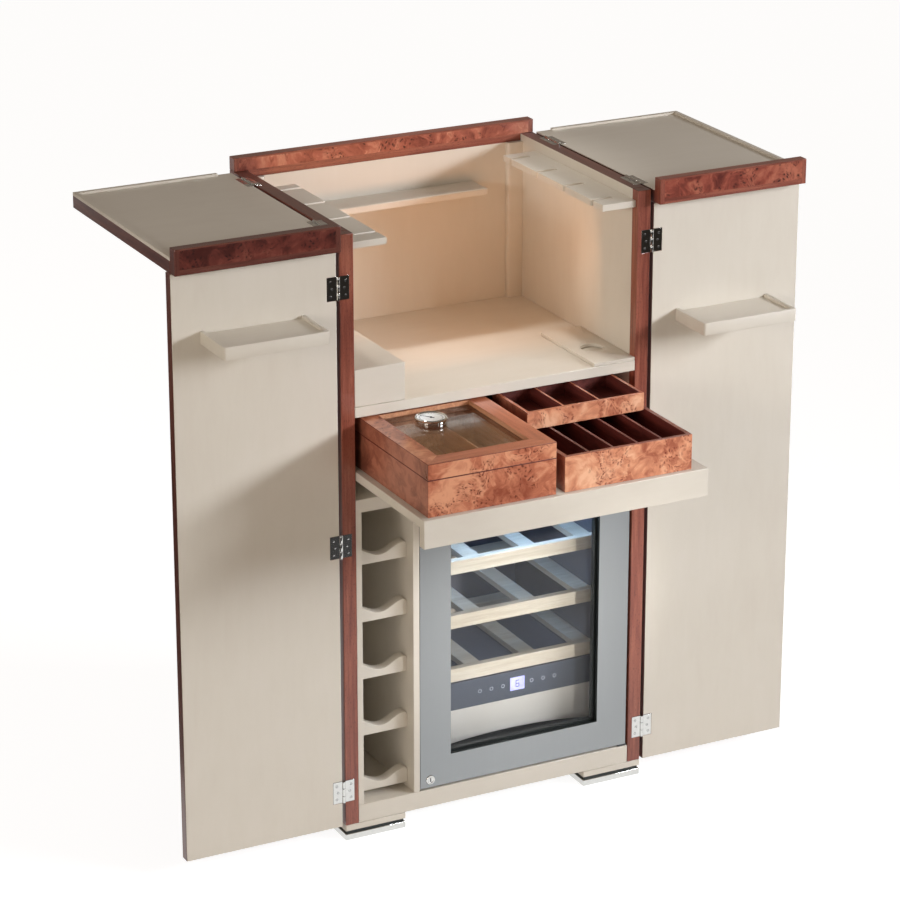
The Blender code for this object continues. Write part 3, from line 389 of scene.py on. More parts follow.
# %% [markdown]
# ## Cream lacquer
#
# The inside faces are maple under a cream tinted lacquer: satin, with a faint figure that still
# shows through. A noise stretched along the board gives the figure, a soft cloud the tint's
# unevenness, and a very shallow bump the slight ripple of sprayed lacquer.

# %% Cream lacquer


def cream_lacquer(name, along):
    paint = new_finish(name)
    grain = paint.stretched(along, 0.22)
    figure = paint.noise(grain, 46.0, detail=6.0, roughness=0.62, distortion=0.3)
    cloud = paint.noise(paint.place(), 4.5)
    ripple = paint.noise(paint.place(), 380.0, detail=2.0)
    colour = paint.ramp(
        figure * 0.4 + cloud * 0.6,
        (0.32, tone(215, 207, 194)),
        (0.50, tone(219, 212, 199)),
        (0.68, tone(222, 215, 203)),
    )
    paint.shade({
        "Base Color": colour,
        "Roughness": 0.30 + cloud * 0.16,
        "Normal": paint.relief(ripple, 0.00002),
    })
    return paint.owner


CREAM_UPRIGHT = cream_lacquer("cream_lacquer_upright", "Z")
CREAM_FLAT = cream_lacquer("cream_lacquer_flat", "X")
print(CREAM_UPRIGHT.name, CREAM_FLAT.name)

# %% [markdown]
# ## Straight grained veneers
#
# Mahogany edges the boards. A darker copy of it on the tops, on the side edges of doors and flaps
# and round the left strip is painted shade, for faces that the lamps barely reach. The humidor's
# lid has rails of reddish honey veneer and its lining is cedar, the wells of the games boxes are
# dark, and the cooler's shelves are beech. All are straight grained, so one function serves them:
# narrow stripes, a broad ribbon of light and dark, and short dark pores, all drawn out along the
# grain.

# %% Straight grained veneers


def straight_veneer(name, along, deep, middle, pale, pore, gloss=0.24, pore_share=0.55):
    wood = new_finish(name)
    grain = wood.stretched(along, 0.05)
    stripes = wood.noise(grain, 190.0, detail=5.0, roughness=0.6, distortion=0.5)
    ribbon = wood.noise(wood.stretched(along, 0.10), 34.0, distortion=0.6)
    flecks = wood.noise(wood.stretched(along, 0.16), 1100.0, detail=2.0)
    pores = wood.between(flecks, 0.58, 0.68)
    colour = wood.ramp(
        stripes * 0.58 + ribbon * 0.42,
        (0.34, deep),
        (0.50, middle),
        (0.66, pale),
    )
    wood.shade({
        "Base Color": wood.blend(colour, pore, pores * pore_share),
        "Roughness": gloss + stripes * 0.14,
        "Coat Weight": 0.25,
        "Coat Roughness": 0.12,
        "Normal": wood.relief(1.0 - pores, 0.00004),
    })
    return wood.owner


def laid(name, letters, shades, **look):
    """The same veneer laid with its grain along each of the named axes."""
    return {along: straight_veneer(f"{name}_{along}", along, *shades, **look) for along in letters}


MAHOGANY_TONES = tones((108, 52, 40), (142, 78, 62), (168, 102, 80), (62, 26, 20))
SHADED_MAHOGANY_TONES = tones((76, 36, 28), (100, 54, 44), (120, 72, 58), (44, 18, 14))
HONEY_TONES = tones((158, 86, 60), (186, 110, 80), (206, 132, 100), (112, 56, 40))
BEECH_TONES = tones((208, 192, 166), (224, 211, 188), (236, 226, 207), (180, 158, 128))
CEDAR_TONES = tones((168, 110, 76), (196, 138, 101), (218, 166, 128), (122, 74, 50))
INSIDE_AND_SEAM_SHADE_TONES = tones((78, 30, 26), (104, 44, 38), (126, 58, 48), (44, 14, 12))
MAHOGANY = laid("mahogany", "XYZ", MAHOGANY_TONES)
# Painted shade: a darker copy of the mahogany for tops and side edges that the lamps barely reach.
SHADED_MAHOGANY = laid("shaded_mahogany", "XYZ", SHADED_MAHOGANY_TONES)
HONEY = laid("honey_veneer", "XY", HONEY_TONES)
BEECH = laid("beech", "XY", BEECH_TONES, gloss=0.38, pore_share=0.3)
CEDAR = straight_veneer("cedar", "Y", *CEDAR_TONES, gloss=0.5, pore_share=0.4)
# Dark veneer for the wells, also painted shade in the humidor's joint with its lid.
BOX_INSIDE_AND_SEAM_SHADE = straight_veneer("box_inside_and_seam_shade", "Y", *INSIDE_AND_SEAM_SHADE_TONES, gloss=0.42)
print("mahogany, dark edge, honey, beech, cedar and", BOX_INSIDE_AND_SEAM_SHADE.name)

# %% [markdown]
# ## Burl
#
# Burl is cut from a knotty growth, so its grain swirls and carries clusters of small dark eyes. A
# noise bends the coordinates, a second one on them gives the swirls, and a texture of cells gives
# the eyes. The eyes are kept only where a broad mask says that there is a cluster, as on the real
# sheet. No two sheets match, so the boxes and their sides have tones of their own. The rail's
# lighter tones are painted light, and the left strip's darker ones are painted shade.

# %% Burl


def burl(name, deep, middle, pale, eye, cluster_start):
    wood = new_finish(name)
    drift_sockets = {"Vector": wood.place(), "Scale": 15.0, "Detail": 4.0, "Distortion": 1.6}
    drift = wood.node("ShaderNodeTexNoise", {}, drift_sockets, output="Color")
    bent = wood.node(
        "ShaderNodeVectorMath",
        {"operation": "MULTIPLY_ADD"},
        {0: drift, 1: (0.045, 0.045, 0.045), 2: wood.place()},
    )
    swirls = wood.noise(bent, 26.0, detail=6.0, roughness=0.56, distortion=1.3)
    cloud = wood.noise(wood.place(), 10.0, detail=2.0)
    patches = wood.noise(wood.place(), 16.0, detail=2.0)
    cluster = wood.between(patches, cluster_start, cluster_start + 0.07)
    cell_sockets = {"Vector": bent, "Scale": 155.0, "Randomness": 1.0}
    distance = wood.node("ShaderNodeTexVoronoi", {}, cell_sockets, output="Distance")
    chance = wood.node("ShaderNodeTexVoronoi", {}, cell_sockets, output="Color")
    chosen = wood.between(wood.node("ShaderNodeSeparateColor", {}, {"Color": chance}), 0.34, 0.48)
    eyes = wood.between(distance, 0.40, 0.20) * chosen * cluster
    halo = wood.between(distance, 0.75, 0.20) * cluster
    colour = wood.ramp(
        swirls * 0.56 + cloud * 0.44,
        (0.38, deep),
        (0.50, middle),
        (0.61, pale),
    )
    shaded = wood.blend(colour, deep, halo * 0.6)
    wood.shade({
        "Base Color": wood.blend(shaded, eye, eyes * 0.9),
        "Roughness": 0.24 + swirls * 0.12,
        "Coat Weight": 0.35,
        "Coat Roughness": 0.10,
        "Normal": wood.relief(1.0 - eyes, 0.00005),
    })
    return wood.owner


HUMIDOR_TONES = tones((146, 74, 51), (194, 119, 88), (222, 157, 121), (102, 42, 26))
GAMES_TONES = tones((164, 92, 68), (216, 147, 112), (240, 186, 150), (122, 54, 36))
BOX_SIDE_TONES = tones((118, 66, 50), (158, 94, 73), (184, 118, 94), (84, 38, 27))
RED_TONES = tones((92, 36, 28), (144, 70, 54), (180, 106, 82), (52, 17, 13))
# Painted shade: the red burl darkened for the left strip, which lies out of the key lamp's light.
SHADED_LEFT_STRIP_TONES = tones((70, 27, 21), (110, 51, 41), (140, 79, 63), (40, 12, 10))
# Painted light: the red burl made lighter for the rail, where the key lamp falls on it.
LIT_RAIL_TONES = tones((112, 50, 38), (172, 96, 75), (204, 138, 110), (64, 22, 17))
HUMIDOR_BURL = burl("humidor_burl", *HUMIDOR_TONES, cluster_start=0.52)
GAMES_BURL = burl("games_burl", *GAMES_TONES, cluster_start=0.50)
BOX_SIDE_BURL = burl("box_side_burl", *BOX_SIDE_TONES, cluster_start=0.66)
RED_BURL = burl("red_burl", *RED_TONES, cluster_start=0.42)
LIT_RAIL_BURL = burl("lit_rail_burl", *LIT_RAIL_TONES, cluster_start=0.48)
SHADED_LEFT_STRIP_BURL = burl("shaded_left_strip_burl", *SHADED_LEFT_STRIP_TONES, cluster_start=0.50)
STRIP_BURL = {"left": SHADED_LEFT_STRIP_BURL, "right": RED_BURL}
print(HUMIDOR_BURL.name, GAMES_BURL.name, RED_BURL.name, LIT_RAIL_BURL.name)

# %% [markdown]
# ## Metals
#
# The cooler's door has a satin steel skin, brushed upwards, and the hinges, the lock and the skids
# are chrome. Both are mirrors with a different grain: the steel's roughness comes in fine streaks,
# and the chrome carries only faint smears.

# %% Metals


def satin_steel():
    steel = new_finish("satin_steel")
    streaks = steel.noise(steel.stretched("Z", 0.02), 900.0)
    sheen = steel.noise(steel.place(), 2.2, detail=2.0)
    colour = steel.ramp(
        sheen * 0.85 + streaks * 0.15,
        (0.35, tone(149, 152, 153)),
        (0.65, tone(159, 162, 163)),
    )
    steel.shade({
        "Base Color": colour,
        "Metallic": 0.85,
        "Roughness": 0.38 + streaks * 0.08,
        "Normal": steel.relief(streaks, 0.000003),
    })
    return steel.owner


def chrome():
    metal = new_finish("chrome")
    smears = metal.noise(metal.place(), 130.0, detail=4.0, roughness=0.6)
    colour = metal.ramp(smears, (0.35, tone(206, 206, 203)), (0.65, tone(212, 212, 209)))
    metal.shade({
        "Base Color": colour,
        "Metallic": 1.0,
        "Roughness": 0.05 + smears * 0.05,
    })
    return metal.owner


STEEL = satin_steel()
CHROME = chrome()
print(STEEL.name, CHROME.name)

# %% [markdown]
# ## Plastics, rubber, paper and light
#
# The cooler brings its own small materials: a grey lining, a slate control panel, black rubber
# seals, a lamp and a lit display. They are moulded or printed, so a fine speckle and a slow change
# of tone are all that they need.

# %% Moulded and printed materials


def moulded(name, dark, light, roughness, grain=260.0):
    plastic = new_finish(name)
    cloud = plastic.noise(plastic.place(), 9.0)
    speckle = plastic.noise(plastic.place(), grain, detail=2.0)
    plastic.shade({
        "Base Color": plastic.ramp(cloud * 0.6 + speckle * 0.4, (0.35, dark), (0.65, light)),
        "Roughness": roughness + speckle * 0.10,
        "Normal": plastic.relief(speckle, 0.00001),
    })
    return plastic.owner


def lit(name, dim, bright, strength):
    lamp = new_finish(name)
    cloud = lamp.noise(lamp.place(), 60.0, detail=2.0)
    glow = lamp.ramp(cloud, (0.35, dim), (0.65, bright))
    lamp.shade({
        "Base Color": glow,
        "Roughness": 0.4,
        "Emission Color": glow,
        "Emission Strength": strength,
    })
    return lamp.owner


LINING = moulded("cooler_lining", tone(92, 91, 99), tone(108, 107, 116), 0.42)
DARK_PLASTIC = moulded("dark_plastic", tone(40, 43, 48), tone(56, 59, 64), 0.45)
# Black rubber for seals and spacers, also painted shade in the skids' recess.
BLACK_RUBBER_AND_SHADE = moulded("black_rubber_and_shade", tone(20, 26, 25), tone(32, 39, 37), 0.5)
SLATE = moulded("slate_panel", tone(66, 72, 83), tone(76, 82, 94), 0.30, grain=40.0)
PALE_PLASTIC = moulded("pale_plastic", tone(214, 208, 197), tone(226, 221, 211), 0.4)
PAPER = moulded("dial_paper", tone(226, 228, 228), tone(240, 241, 240), 0.6)
INK = moulded("dial_ink", tone(24, 24, 26), tone(38, 38, 40), 0.5)
PRINT = moulded("panel_print", tone(178, 182, 194), tone(198, 201, 211), 0.5)
LAMP = lit("cooler_lamp", tone(150, 198, 255), tone(182, 216, 255), 55.0)
DISPLAY = lit("lit_display", tone(178, 178, 236), tone(200, 200, 250), 0.55)
print("ten small materials")

# %% [markdown]
# ## Glass
#
# Flat panes bend light by so little that a clear shader with a reflection looks right, and it lets
# the lamps shine through to what stands behind, which a solid glass shader would not. The
# reflection grows with the slant: a few hundredths of the light seen straight on, and all of it at
# a glancing angle. The node that is made for solid glass would take a pane's far face for its
# inside and mirror there, so it isn't used.

# %% Glass


def clear_glass(name, tint, sheen):
    glass = new_finish(name)
    through = glass.node("ShaderNodeBsdfTransparent", {}, {"Color": tint})
    mirror = glass.node("ShaderNodeBsdfGlossy", {}, {"Color": WHITE, "Roughness": 0.02})
    slant = glass.node("ShaderNodeLayerWeight", {}, {"Blend": 0.5}, output="Facing")
    steep = slant * slant * slant * slant * slant
    share = sheen + steep * (1.0 - sheen)
    glass.close(glass.node("ShaderNodeMixShader", {}, {0: share, 1: through, 2: mirror}))
    return glass.owner


GLASS = clear_glass("clear_glass", (0.97, 0.98, 0.975, 1.0), sheen=0.035)
COOLER_GLASS = clear_glass("cooler_glass", (0.985, 0.99, 0.995, 1.0), sheen=0.012)
print(GLASS.name, COOLER_GLASS.name)

# %% [markdown]
# ## Turning a packed board into a finished one
#
# A packed board has knife edges, and a knife edge never catches light. So each board is copied, its
# loose triangles are merged into flat faces, and its outer edges are eased by about a millimetre.
# Before that a rule looks at each face's place and direction and names its finish: this is how a
# veneered board has cream on one face, burl on the other and mahogany round the edge.

# %% Copies with eased edges
EASED_EDGE = 0.0009
FINE_EDGE = 0.0004
SHARP = math.radians(35)
NEARLY_FLAT = math.radians(1)
MERGE_REACH = 0.00001
COPLANAR = 0.005
ON_PLANE = 0.000001


def merged_copy(node):
    shape = bmesh.new()
    shape.from_mesh(NODES[node].data)
    bmesh.ops.remove_doubles(shape, verts=shape.verts, dist=MERGE_REACH)
    bmesh.ops.dissolve_limit(shape, angle_limit=COPLANAR, verts=shape.verts, edges=shape.edges)
    return shape


def along_axis(axis, length):
    vector = Vector((0.0, 0.0, 0.0))
    vector["XYZ".index(axis)] = length
    return vector


def across(axis, place):
    """The plane at one place along an axis, as a point and a direction."""
    normal = along_axis(axis, 1.0)
    return normal * place, normal


def score(shape, point, normal):
    """Cuts the faces that cross a plane, so that its two sides can take different finishes."""
    everything = shape.verts[:] + shape.edges[:] + shape.faces[:]
    bmesh.ops.bisect_plane(shape, geom=everything, plane_co=point, plane_no=normal, dist=ON_PLANE)


def soften(shape, radius):
    """Eases the sharp outer edges, and shades the round stretches and the new edges smoothly."""
    for edge in shape.edges:
        if NEARLY_FLAT < edge.calc_face_angle(0.0) < SHARP:
            for face in edge.link_faces:
                face.smooth = True
    sharp = [edge for edge in shape.edges if edge.calc_face_angle(0.0) > SHARP and edge.is_convex]
    eased = bmesh.ops.bevel(
        shape,
        geom=sharp,
        offset=radius,
        segments=2,
        profile=0.5,
        affect="EDGES",
        clamp_overlap=True,
        material=-1,
    )
    for face in eased["faces"]:
        face.smooth = True


def settle_mesh(name, mesh, body, node=None):
    """Makes a piece of a mesh, hangs it on its body's empty, and hides the node that it stands for.
    """
    mesh.name = name
    piece = bpy.data.objects.new(name, mesh)
    SCENE.collection.objects.link(piece)
    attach(piece, body)
    if node:
        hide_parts(node)


def settle(name, shape, finishes, body, node=None):
    settle_mesh(name, mesh_of(name, shape, finishes), body, node)


def facing(normal):
    """The axis that a face looks along, such as -Y for the cabinet's front."""
    axis = max(range(3), key=lambda index: abs(normal[index]))
    return ("-" if normal[axis] < 0 else "+") + "XYZ"[axis]


def dress(node, rule, scores=(), radius=EASED_EDGE):
    """Replaces a node with an eased copy whose faces take the finish that the rule names."""
    shape = merged_copy(node)
    for point, normal in scores:
        score(shape, point, normal)
    finishes = []
    for face in shape.faces:
        finish = rule(face.calc_center_median(), facing(face.normal))
        if finish not in finishes:
            finishes.append(finish)
        face.material_index = finishes.index(finish)
    soften(shape, radius)
    settle(f"{node}_finished", shape, finishes, BODY_OF[node], node)


def by_facing(usual, **special):
    """A rule that goes by direction alone. Keys are front, back, left, right, top and under."""
    names = {"front": "-Y", "back": "+Y", "left": "-X", "right": "+X", "top": "+Z", "under": "-Z"}
    table = {names[key]: finish for key, finish in special.items()}
    return lambda place, side: table.get(side, usual)


print("eased by", EASED_EDGE * 1000, "mm")

# %% [markdown]
# ## Frame and panel veneer
#
# The outside of the cabinet is a burl field inside a mahogany border. On a real board the border's
# upright strips run through and the cross strips butt against them. The board is scored along those
# joints, and the rule gives each strip the border's wood with the grain along its length.

# %% Frame and panel rule
EDGE_GRAIN = {"-X": "Z", "+X": "Z", "-Y": "Z", "+Y": "Z", "-Z": "X", "+Z": "X"}


class Framed:
    """A burl field in a straight grained border on one side of a board."""

    def __init__(self, node, letters, margins, sheet, wood=MAHOGANY):
        self.sheet = sheet
        self.wood = wood
        self.axes = ["XYZ".index(letter) for letter in letters]
        self.letters = letters
        low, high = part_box(node)
        self.low = [low[axis] + margin for axis, margin in zip(self.axes, margins[0])]
        self.high = [high[axis] - margin for axis, margin in zip(self.axes, margins[1])]

    def scores(self):
        return [
            across(letter, place)
            for letter, low, high in zip(self.letters, self.low, self.high)
            for place in (low, high)
        ]

    def finish(self, place):
        inside = [
            low < place[axis] < high
            for axis, low, high in zip(self.axes, self.low, self.high)
        ]
        if all(inside):
            return self.sheet
        return self.wood[self.letters[1] if not inside[0] else self.letters[0]]


def framed_rule(field, side, faces):
    """Border and field on one side, named finishes on others, the border's wood on the rest."""

    def rule(place, looking):
        if looking == side:
            return field.finish(place)
        return faces.get(looking, field.wood[EDGE_GRAIN[looking]])

    return rule


print("edges grained along", EDGE_GRAIN)

# %% [markdown]
# ## Carcass
#
# Two side boards, two posts, a back, a rail, a base and the skids. The side boards are cream
# towards the bar and framed burl towards the room. Each skid is a cream block over a recess
# painted black as shade over a chrome plate, and one rule reads them from the height of the face.

# %% Carcass
BORDER = 0.045
EVEN_BORDER = ((BORDER, BORDER), (BORDER, BORDER))
RAIL_MARGINS = ((0.010, 0.014), (0.010, 0.003))
SKID_PLATE_TOP = 0.0125
# Top of the recess band that is painted black as shade.
SKID_RECESS_TOP = 0.0178


def skid_rule(place, looking):
    if place.z < SKID_PLATE_TOP:
        return CHROME
    # The recess band is black: painted shade of the gap between block and plate.
    return BLACK_RUBBER_AND_SHADE if place.z < SKID_RECESS_TOP else CREAM_FLAT


def make_carcass():
    for side, sign in SIDES.items():
        board = f"{side}_side_panel"
        field = Framed(board, "YZ", EVEN_BORDER, RED_BURL)
        outside, inside = ("+X", "-X") if sign > 0 else ("-X", "+X")
        # Tops and bottoms of the side boards take the darker mahogany: painted shade.
        faces = {inside: CREAM_UPRIGHT, "+Z": SHADED_MAHOGANY["Y"], "-Z": SHADED_MAHOGANY["Y"]}
        dress(board, framed_rule(field, outside, faces), field.scores())
        # The post's top takes the darker mahogany too: painted shade.
        dress(f"{side}_front_post", by_facing(MAHOGANY["Z"], top=SHADED_MAHOGANY["Y"]))
        dress(f"{side}_skid", skid_rule)
    dress("back_panel", by_facing(CREAM_UPRIGHT, back=MAHOGANY["Z"]))
    # The rail's burl is the lighter copy: painted light.
    rail = Framed("back_rail", "XZ", RAIL_MARGINS, LIT_RAIL_BURL)
    dress("back_rail", framed_rule(rail, "-Y", {"+Y": MAHOGANY["X"]}), rail.scores())
    dress("base_panel", by_facing(CREAM_FLAT))


make_carcass()

# %% [markdown]
# ## Bar and bottle rack
#
# Everything in the bar and in the rack beside the cooler is the same cream lacquer. The two stiles
# in the bar's rear corners are narrow, so they have no solid of their own: each is a board with a
# hollow corner run down its free edge, drawn as an outline and pulled up from the bar's floor to
# the rail.

# %% Bar and bottle rack
STILE_WIDTH = 0.031
STILE_DEPTH = 0.011
STILE_COVE = 0.005
COVE_STEPS = 5


def pulled(outline, along, start, end):
    """A closed outline in the two other axes, pulled from start to end along an axis."""
    axis = "XYZ".index(along)
    shape = bmesh.new()
    corners = []
    for point in outline:
        place = list(point)
        place.insert(axis, start)
        corners.append(shape.verts.new(place))
    drawn = bmesh.ops.extrude_face_region(shape, geom=[shape.faces.new(corners)])
    moved = [item for item in drawn["geom"] if isinstance(item, bmesh.types.BMVert)]
    bmesh.ops.translate(shape, vec=along_axis(along, end - start), verts=moved)
    bmesh.ops.recalc_face_normals(shape, faces=shape.faces)
    return shape


def make_stile(side, sign):
    wall = abs(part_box(f"{side}_side_panel")[0 if sign > 0 else 1].x)
    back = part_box("back_panel")[0].y
    free = wall - STILE_WIDTH
    outline = [(sign * wall, back), (sign * wall, back - STILE_DEPTH)]
    for step in range(COVE_STEPS + 1):
        angle = math.pi / 2 * step / COVE_STEPS
        reach = free + STILE_COVE * (1 - math.sin(angle))
        depth = STILE_DEPTH - STILE_COVE * (1 - math.cos(angle))
        outline.append((sign * reach, back - depth))
    outline.append((sign * free, back))
    shape = pulled(outline, "Z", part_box("bar_floor")[1].z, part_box("back_rail")[0].z)
    soften(shape, FINE_EDGE)
    settle(f"{side}_bar_stile", shape, [CREAM_UPRIGHT], "carcass")


def make_bar():
    flat = by_facing(CREAM_FLAT)
    for board in ("bar_floor", "bar_back_shelf", "step_box", "lift_out_board"):
        dress(board, flat)
    for side, sign in SIDES.items():
        dress(f"{side}_glass_rack", flat, radius=FINE_EDGE)
        make_stile(side, sign)
    dress("bottle_rack", by_facing(CREAM_FLAT, right=CREAM_UPRIGHT), radius=FINE_EDGE)
    dress("rack_divider", by_facing(CREAM_UPRIGHT))


make_bar()

# %% [markdown]
# ## Cooler case and shelves
#
# The case is one solid, so the rule tells its skins apart by place: faces on its own box are the
# dark outside, the front of the raised block is the slate control panel, and what is left is the
# grey lining. The shelves are beech with the grain along the front rail.

# %% Cooler case and shelves
NEAR = 0.0004
PANEL_HEIGHT = 0.056
BAY_FLOOR = 0.040
CASE_LIP = 0.003


def off_outline(place, looking, low, high):
    """How far a face lies from the side of a box that it looks towards."""
    axis = "XYZ".index(looking[1])
    limit = low if looking[0] == "-" else high
    return abs(place[axis] - limit[axis])


def cooler_rule():
    low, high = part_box("cooler_case")
    door_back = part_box("cooler_door_frame")[1].y
    panel_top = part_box("cooler_shelf_1")[0].z

    def rule(place, looking):
        if off_outline(place, looking, low, high) < NEAR or place.y < door_back + CASE_LIP:
            return DARK_PLASTIC
        if looking == "-Y" and panel_top - PANEL_HEIGHT < place.z < panel_top:
            return SLATE
        if looking == "+Z" and place.z < low.z + BAY_FLOOR:
            return BLACK_RUBBER_AND_SHADE
        return LINING

    return rule


def make_cooler():
    dress("cooler_case", cooler_rule(), radius=FINE_EDGE)
    for index in (1, 2, 3):
        dress(f"cooler_shelf_{index}", by_facing(BEECH["Y"], front=BEECH["X"], top=BEECH["X"]))


make_cooler()

# %% [markdown]
# ## Cooler door
#
# The door's steel frame turns inwards to a black rubber reveal, which is what shows at the right
# and below through the glass. The pane is a sealed double one: two sheets with a dark spacer
# between them.

# %% Cooler door
PANE_THICKNESS = 0.004
SPACER_WIDTH = 0.012


def frame_rule():
    low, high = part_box("cooler_door_frame")
    middle = (low + high) / 2

    def rule(place, looking):
        axis = "XYZ".index(looking[1])
        if looking == "-Y" and place.y < low.y + NEAR:
            return STEEL
        if axis == 1:
            return DARK_PLASTIC
        outward = (place[axis] - middle[axis]) * (1 if looking[0] == "+" else -1) > 0
        return STEEL if outward else BLACK_RUBBER_AND_SHADE

    return rule


def add_block(shape, low, high, index=0):
    """Adds a box between two corners to a shape, with one finish."""
    low, high = Vector(low), Vector(high)
    made = bmesh.ops.create_cube(shape, size=1.0)
    scale = Matrix.LocRotScale((low + high) / 2, None, high - low)
    bmesh.ops.transform(shape, matrix=scale, verts=made["verts"])
    for face in {face for vert in made["verts"] for face in vert.link_faces}:
        face.material_index = index


def make_glazing():
    low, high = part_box("cooler_door_glass")
    shape = bmesh.new()
    add_block(shape, low, (high.x, low.y + PANE_THICKNESS, high.z))
    add_block(shape, (low.x, high.y - PANE_THICKNESS, low.z), high)
    near, far = low.y + PANE_THICKNESS, high.y - PANE_THICKNESS
    for left, right in ((low.x, low.x + SPACER_WIDTH), (high.x - SPACER_WIDTH, high.x)):
        add_block(shape, (left, near, low.z), (right, far, high.z), 1)
    inner = (low.x + SPACER_WIDTH, high.x - SPACER_WIDTH)
    for bottom, top in ((low.z, low.z + SPACER_WIDTH), (high.z - SPACER_WIDTH, high.z)):
        add_block(shape, (inner[0], near, bottom), (inner[1], far, top), 1)
    finishes = [COOLER_GLASS, BLACK_RUBBER_AND_SHADE]
    settle("cooler_glazing", shape, finishes, "cooler_door", "cooler_door_glass")


dress("cooler_door_frame", frame_rule())
make_glazing()

# %% [markdown]
# ## Tray and boxes
#
# The tray is cream. The boxes on it are tan burl in front and plainer at the sides, with lips of
# mahogany or honey veneer, dark veneer in the wells and cedar in the humidor. Faces on a box's own
# outline are outside, and any other face is inside. The humidor has two dark lines round it: a band
# of dark veneer at its mouth, which is painted shade of its joint with the lid, and another along
# the lid's upper edge. Both are scored bands of the same board. The humidor's lip and the lid's
# underside are dark veneer too, painted shade in the joint.

# %% Tray and boxes
# Painted shade: a band of dark veneer at the humidor's mouth, for the shadow in the joint.
MOUTH_SHADE_LINE = 0.0016
LID_LINE = 0.0012


def box_rule(node, outside, inside, lip, band=0.0):
    low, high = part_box(node)

    def rule(place, looking):
        if off_outline(place, looking, low, high) >= NEAR:
            return inside
        # On the humidor the lip and the band under it are dark veneer: painted shade of the joint.
        if looking[1] == "Z" or place.z > high.z - band:
            return lip
        return BOX_SIDE_BURL if looking[1] == "X" else outside

    return rule


def lid_rule():
    low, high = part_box("humidor_lid")

    def rule(place, looking):
        left, right = place.x - low.x, high.x - place.x
        front, back = place.y - low.y, high.y - place.y
        if min(left, right, front, back) < NEAR:
            if place.z > high.z - LID_LINE:
                return BOX_INSIDE_AND_SEAM_SHADE
            return BOX_SIDE_BURL if min(left, right) < NEAR else HUMIDOR_BURL
        # The lid's underside is dark veneer: painted shade in the joint.
        if looking == "-Z":
            return BOX_INSIDE_AND_SEAM_SHADE
        if looking != "+Z" or place.z < high.z - NEAR:
            return CEDAR
        if min(front, back) < min(left, right):
            return HONEY["X"]
        return HUMIDOR_BURL if left < right else HONEY["Y"]

    corners = [(low.x, low.y, 1), (low.x, high.y, -1), (high.x, low.y, -1), (high.x, high.y, 1)]
    mitres = [(Vector((x, y, 0)), Vector((1, -slope, 0)).normalized()) for x, y, slope in corners]
    return rule, [*mitres, across("Z", high.z - LID_LINE)]


def make_boxes():
    dress("pull_out_tray", by_facing(CREAM_FLAT))
    # The humidor's lip and mouth band take the dark veneer: painted shade of the joint with the
    # lid.
    mouth = box_rule("humidor_box", HUMIDOR_BURL, CEDAR, BOX_INSIDE_AND_SEAM_SHADE, MOUTH_SHADE_LINE)
    mouth_shade_cut = across("Z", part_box("humidor_box")[1].z - MOUTH_SHADE_LINE)
    dress("humidor_box", mouth, [mouth_shade_cut], FINE_EDGE)
    rule, joints = lid_rule()
    dress("humidor_lid", rule, joints, FINE_EDGE)
    for box, lip in (("chips_box", MAHOGANY["X"]), ("card_box", HONEY["X"])):
        dress(box, box_rule(box, GAMES_BURL, BOX_INSIDE_AND_SEAM_SHADE, lip), radius=FINE_EDGE)
    NODES["humidor_glass"].material_slots[0].material = GLASS


make_boxes()

# %% [markdown]
# ## Doors, flaps and their strips
#
# The doors show their cream inside, because they are folded right back. Their room side, now
# behind, is framed burl. The flaps are the same boards laid flat, with the lacquer carried over
# their low rims, and each has a narrow burl strip with a straight border along its front edge. On
# the left strip the burl and the border are darker, which is painted shade.

# %% Doors and flaps
STRIP_MARGINS = ((0.009, 0.010), (0.009, 0.003))
# Painted shade: the left strip's border is the darker mahogany.
STRIP_WOOD = {"left": SHADED_MAHOGANY, "right": MAHOGANY}
LACQUER_BAND = 0.002

wall_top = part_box("left_side_panel")[1].z


def flap_rule(field):
    # The flap's side edges take the darker mahogany: painted shade.
    edges = {"+Z": CREAM_FLAT, "-X": SHADED_MAHOGANY["Y"], "+X": SHADED_MAHOGANY["Y"]}
    below = framed_rule(field, "-Z", edges)

    def rule(place, looking):
        return CREAM_FLAT if place.z > wall_top - LACQUER_BAND else below(place, looking)

    return rule


def make_doors():
    # The doors' side edges take the darker mahogany: painted shade.
    door_faces = {"-Y": CREAM_UPRIGHT, "-X": SHADED_MAHOGANY["Z"], "+X": SHADED_MAHOGANY["Z"]}
    for side in SIDES:
        door = f"{side}_door"
        field = Framed(door, "XZ", EVEN_BORDER, RED_BURL)
        dress(door, framed_rule(field, "+Y", door_faces), field.scores())
        dress(f"{side}_door_shelf", by_facing(CREAM_FLAT))
        flap = f"{side}_flap"
        field = Framed(flap, "XY", EVEN_BORDER, RED_BURL)
        lacquer_line = across("Z", wall_top - LACQUER_BAND)
        dress(flap, flap_rule(field), [*field.scores(), lacquer_line])
        strip = f"{side}_flap_strip"
        field = Framed(strip, "XZ", STRIP_MARGINS, STRIP_BURL[side], STRIP_WOOD[side])
        dress(strip, framed_rule(field, "-Y", {"+Y": MAHOGANY["X"]}), field.scores())


make_doors()

# %% [markdown]
# ## Hinges
#
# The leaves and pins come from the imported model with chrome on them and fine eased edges.

# %% Hinges
HINGE_EDGE = 0.0002


def make_hinges():
    metal = by_facing(CHROME)
    hardware = [node for node in NODES if node.endswith("_leaf") or node.endswith("_pin")]
    for node in hardware:
        dress(node, metal, radius=HINGE_EDGE)
    return len(hardware)


print(make_hinges(), "leaves and pins")

# %% [markdown]
# ## Lock
#
# The lock is a turned piece, so its half outline is revolved round the axis that it turns on.

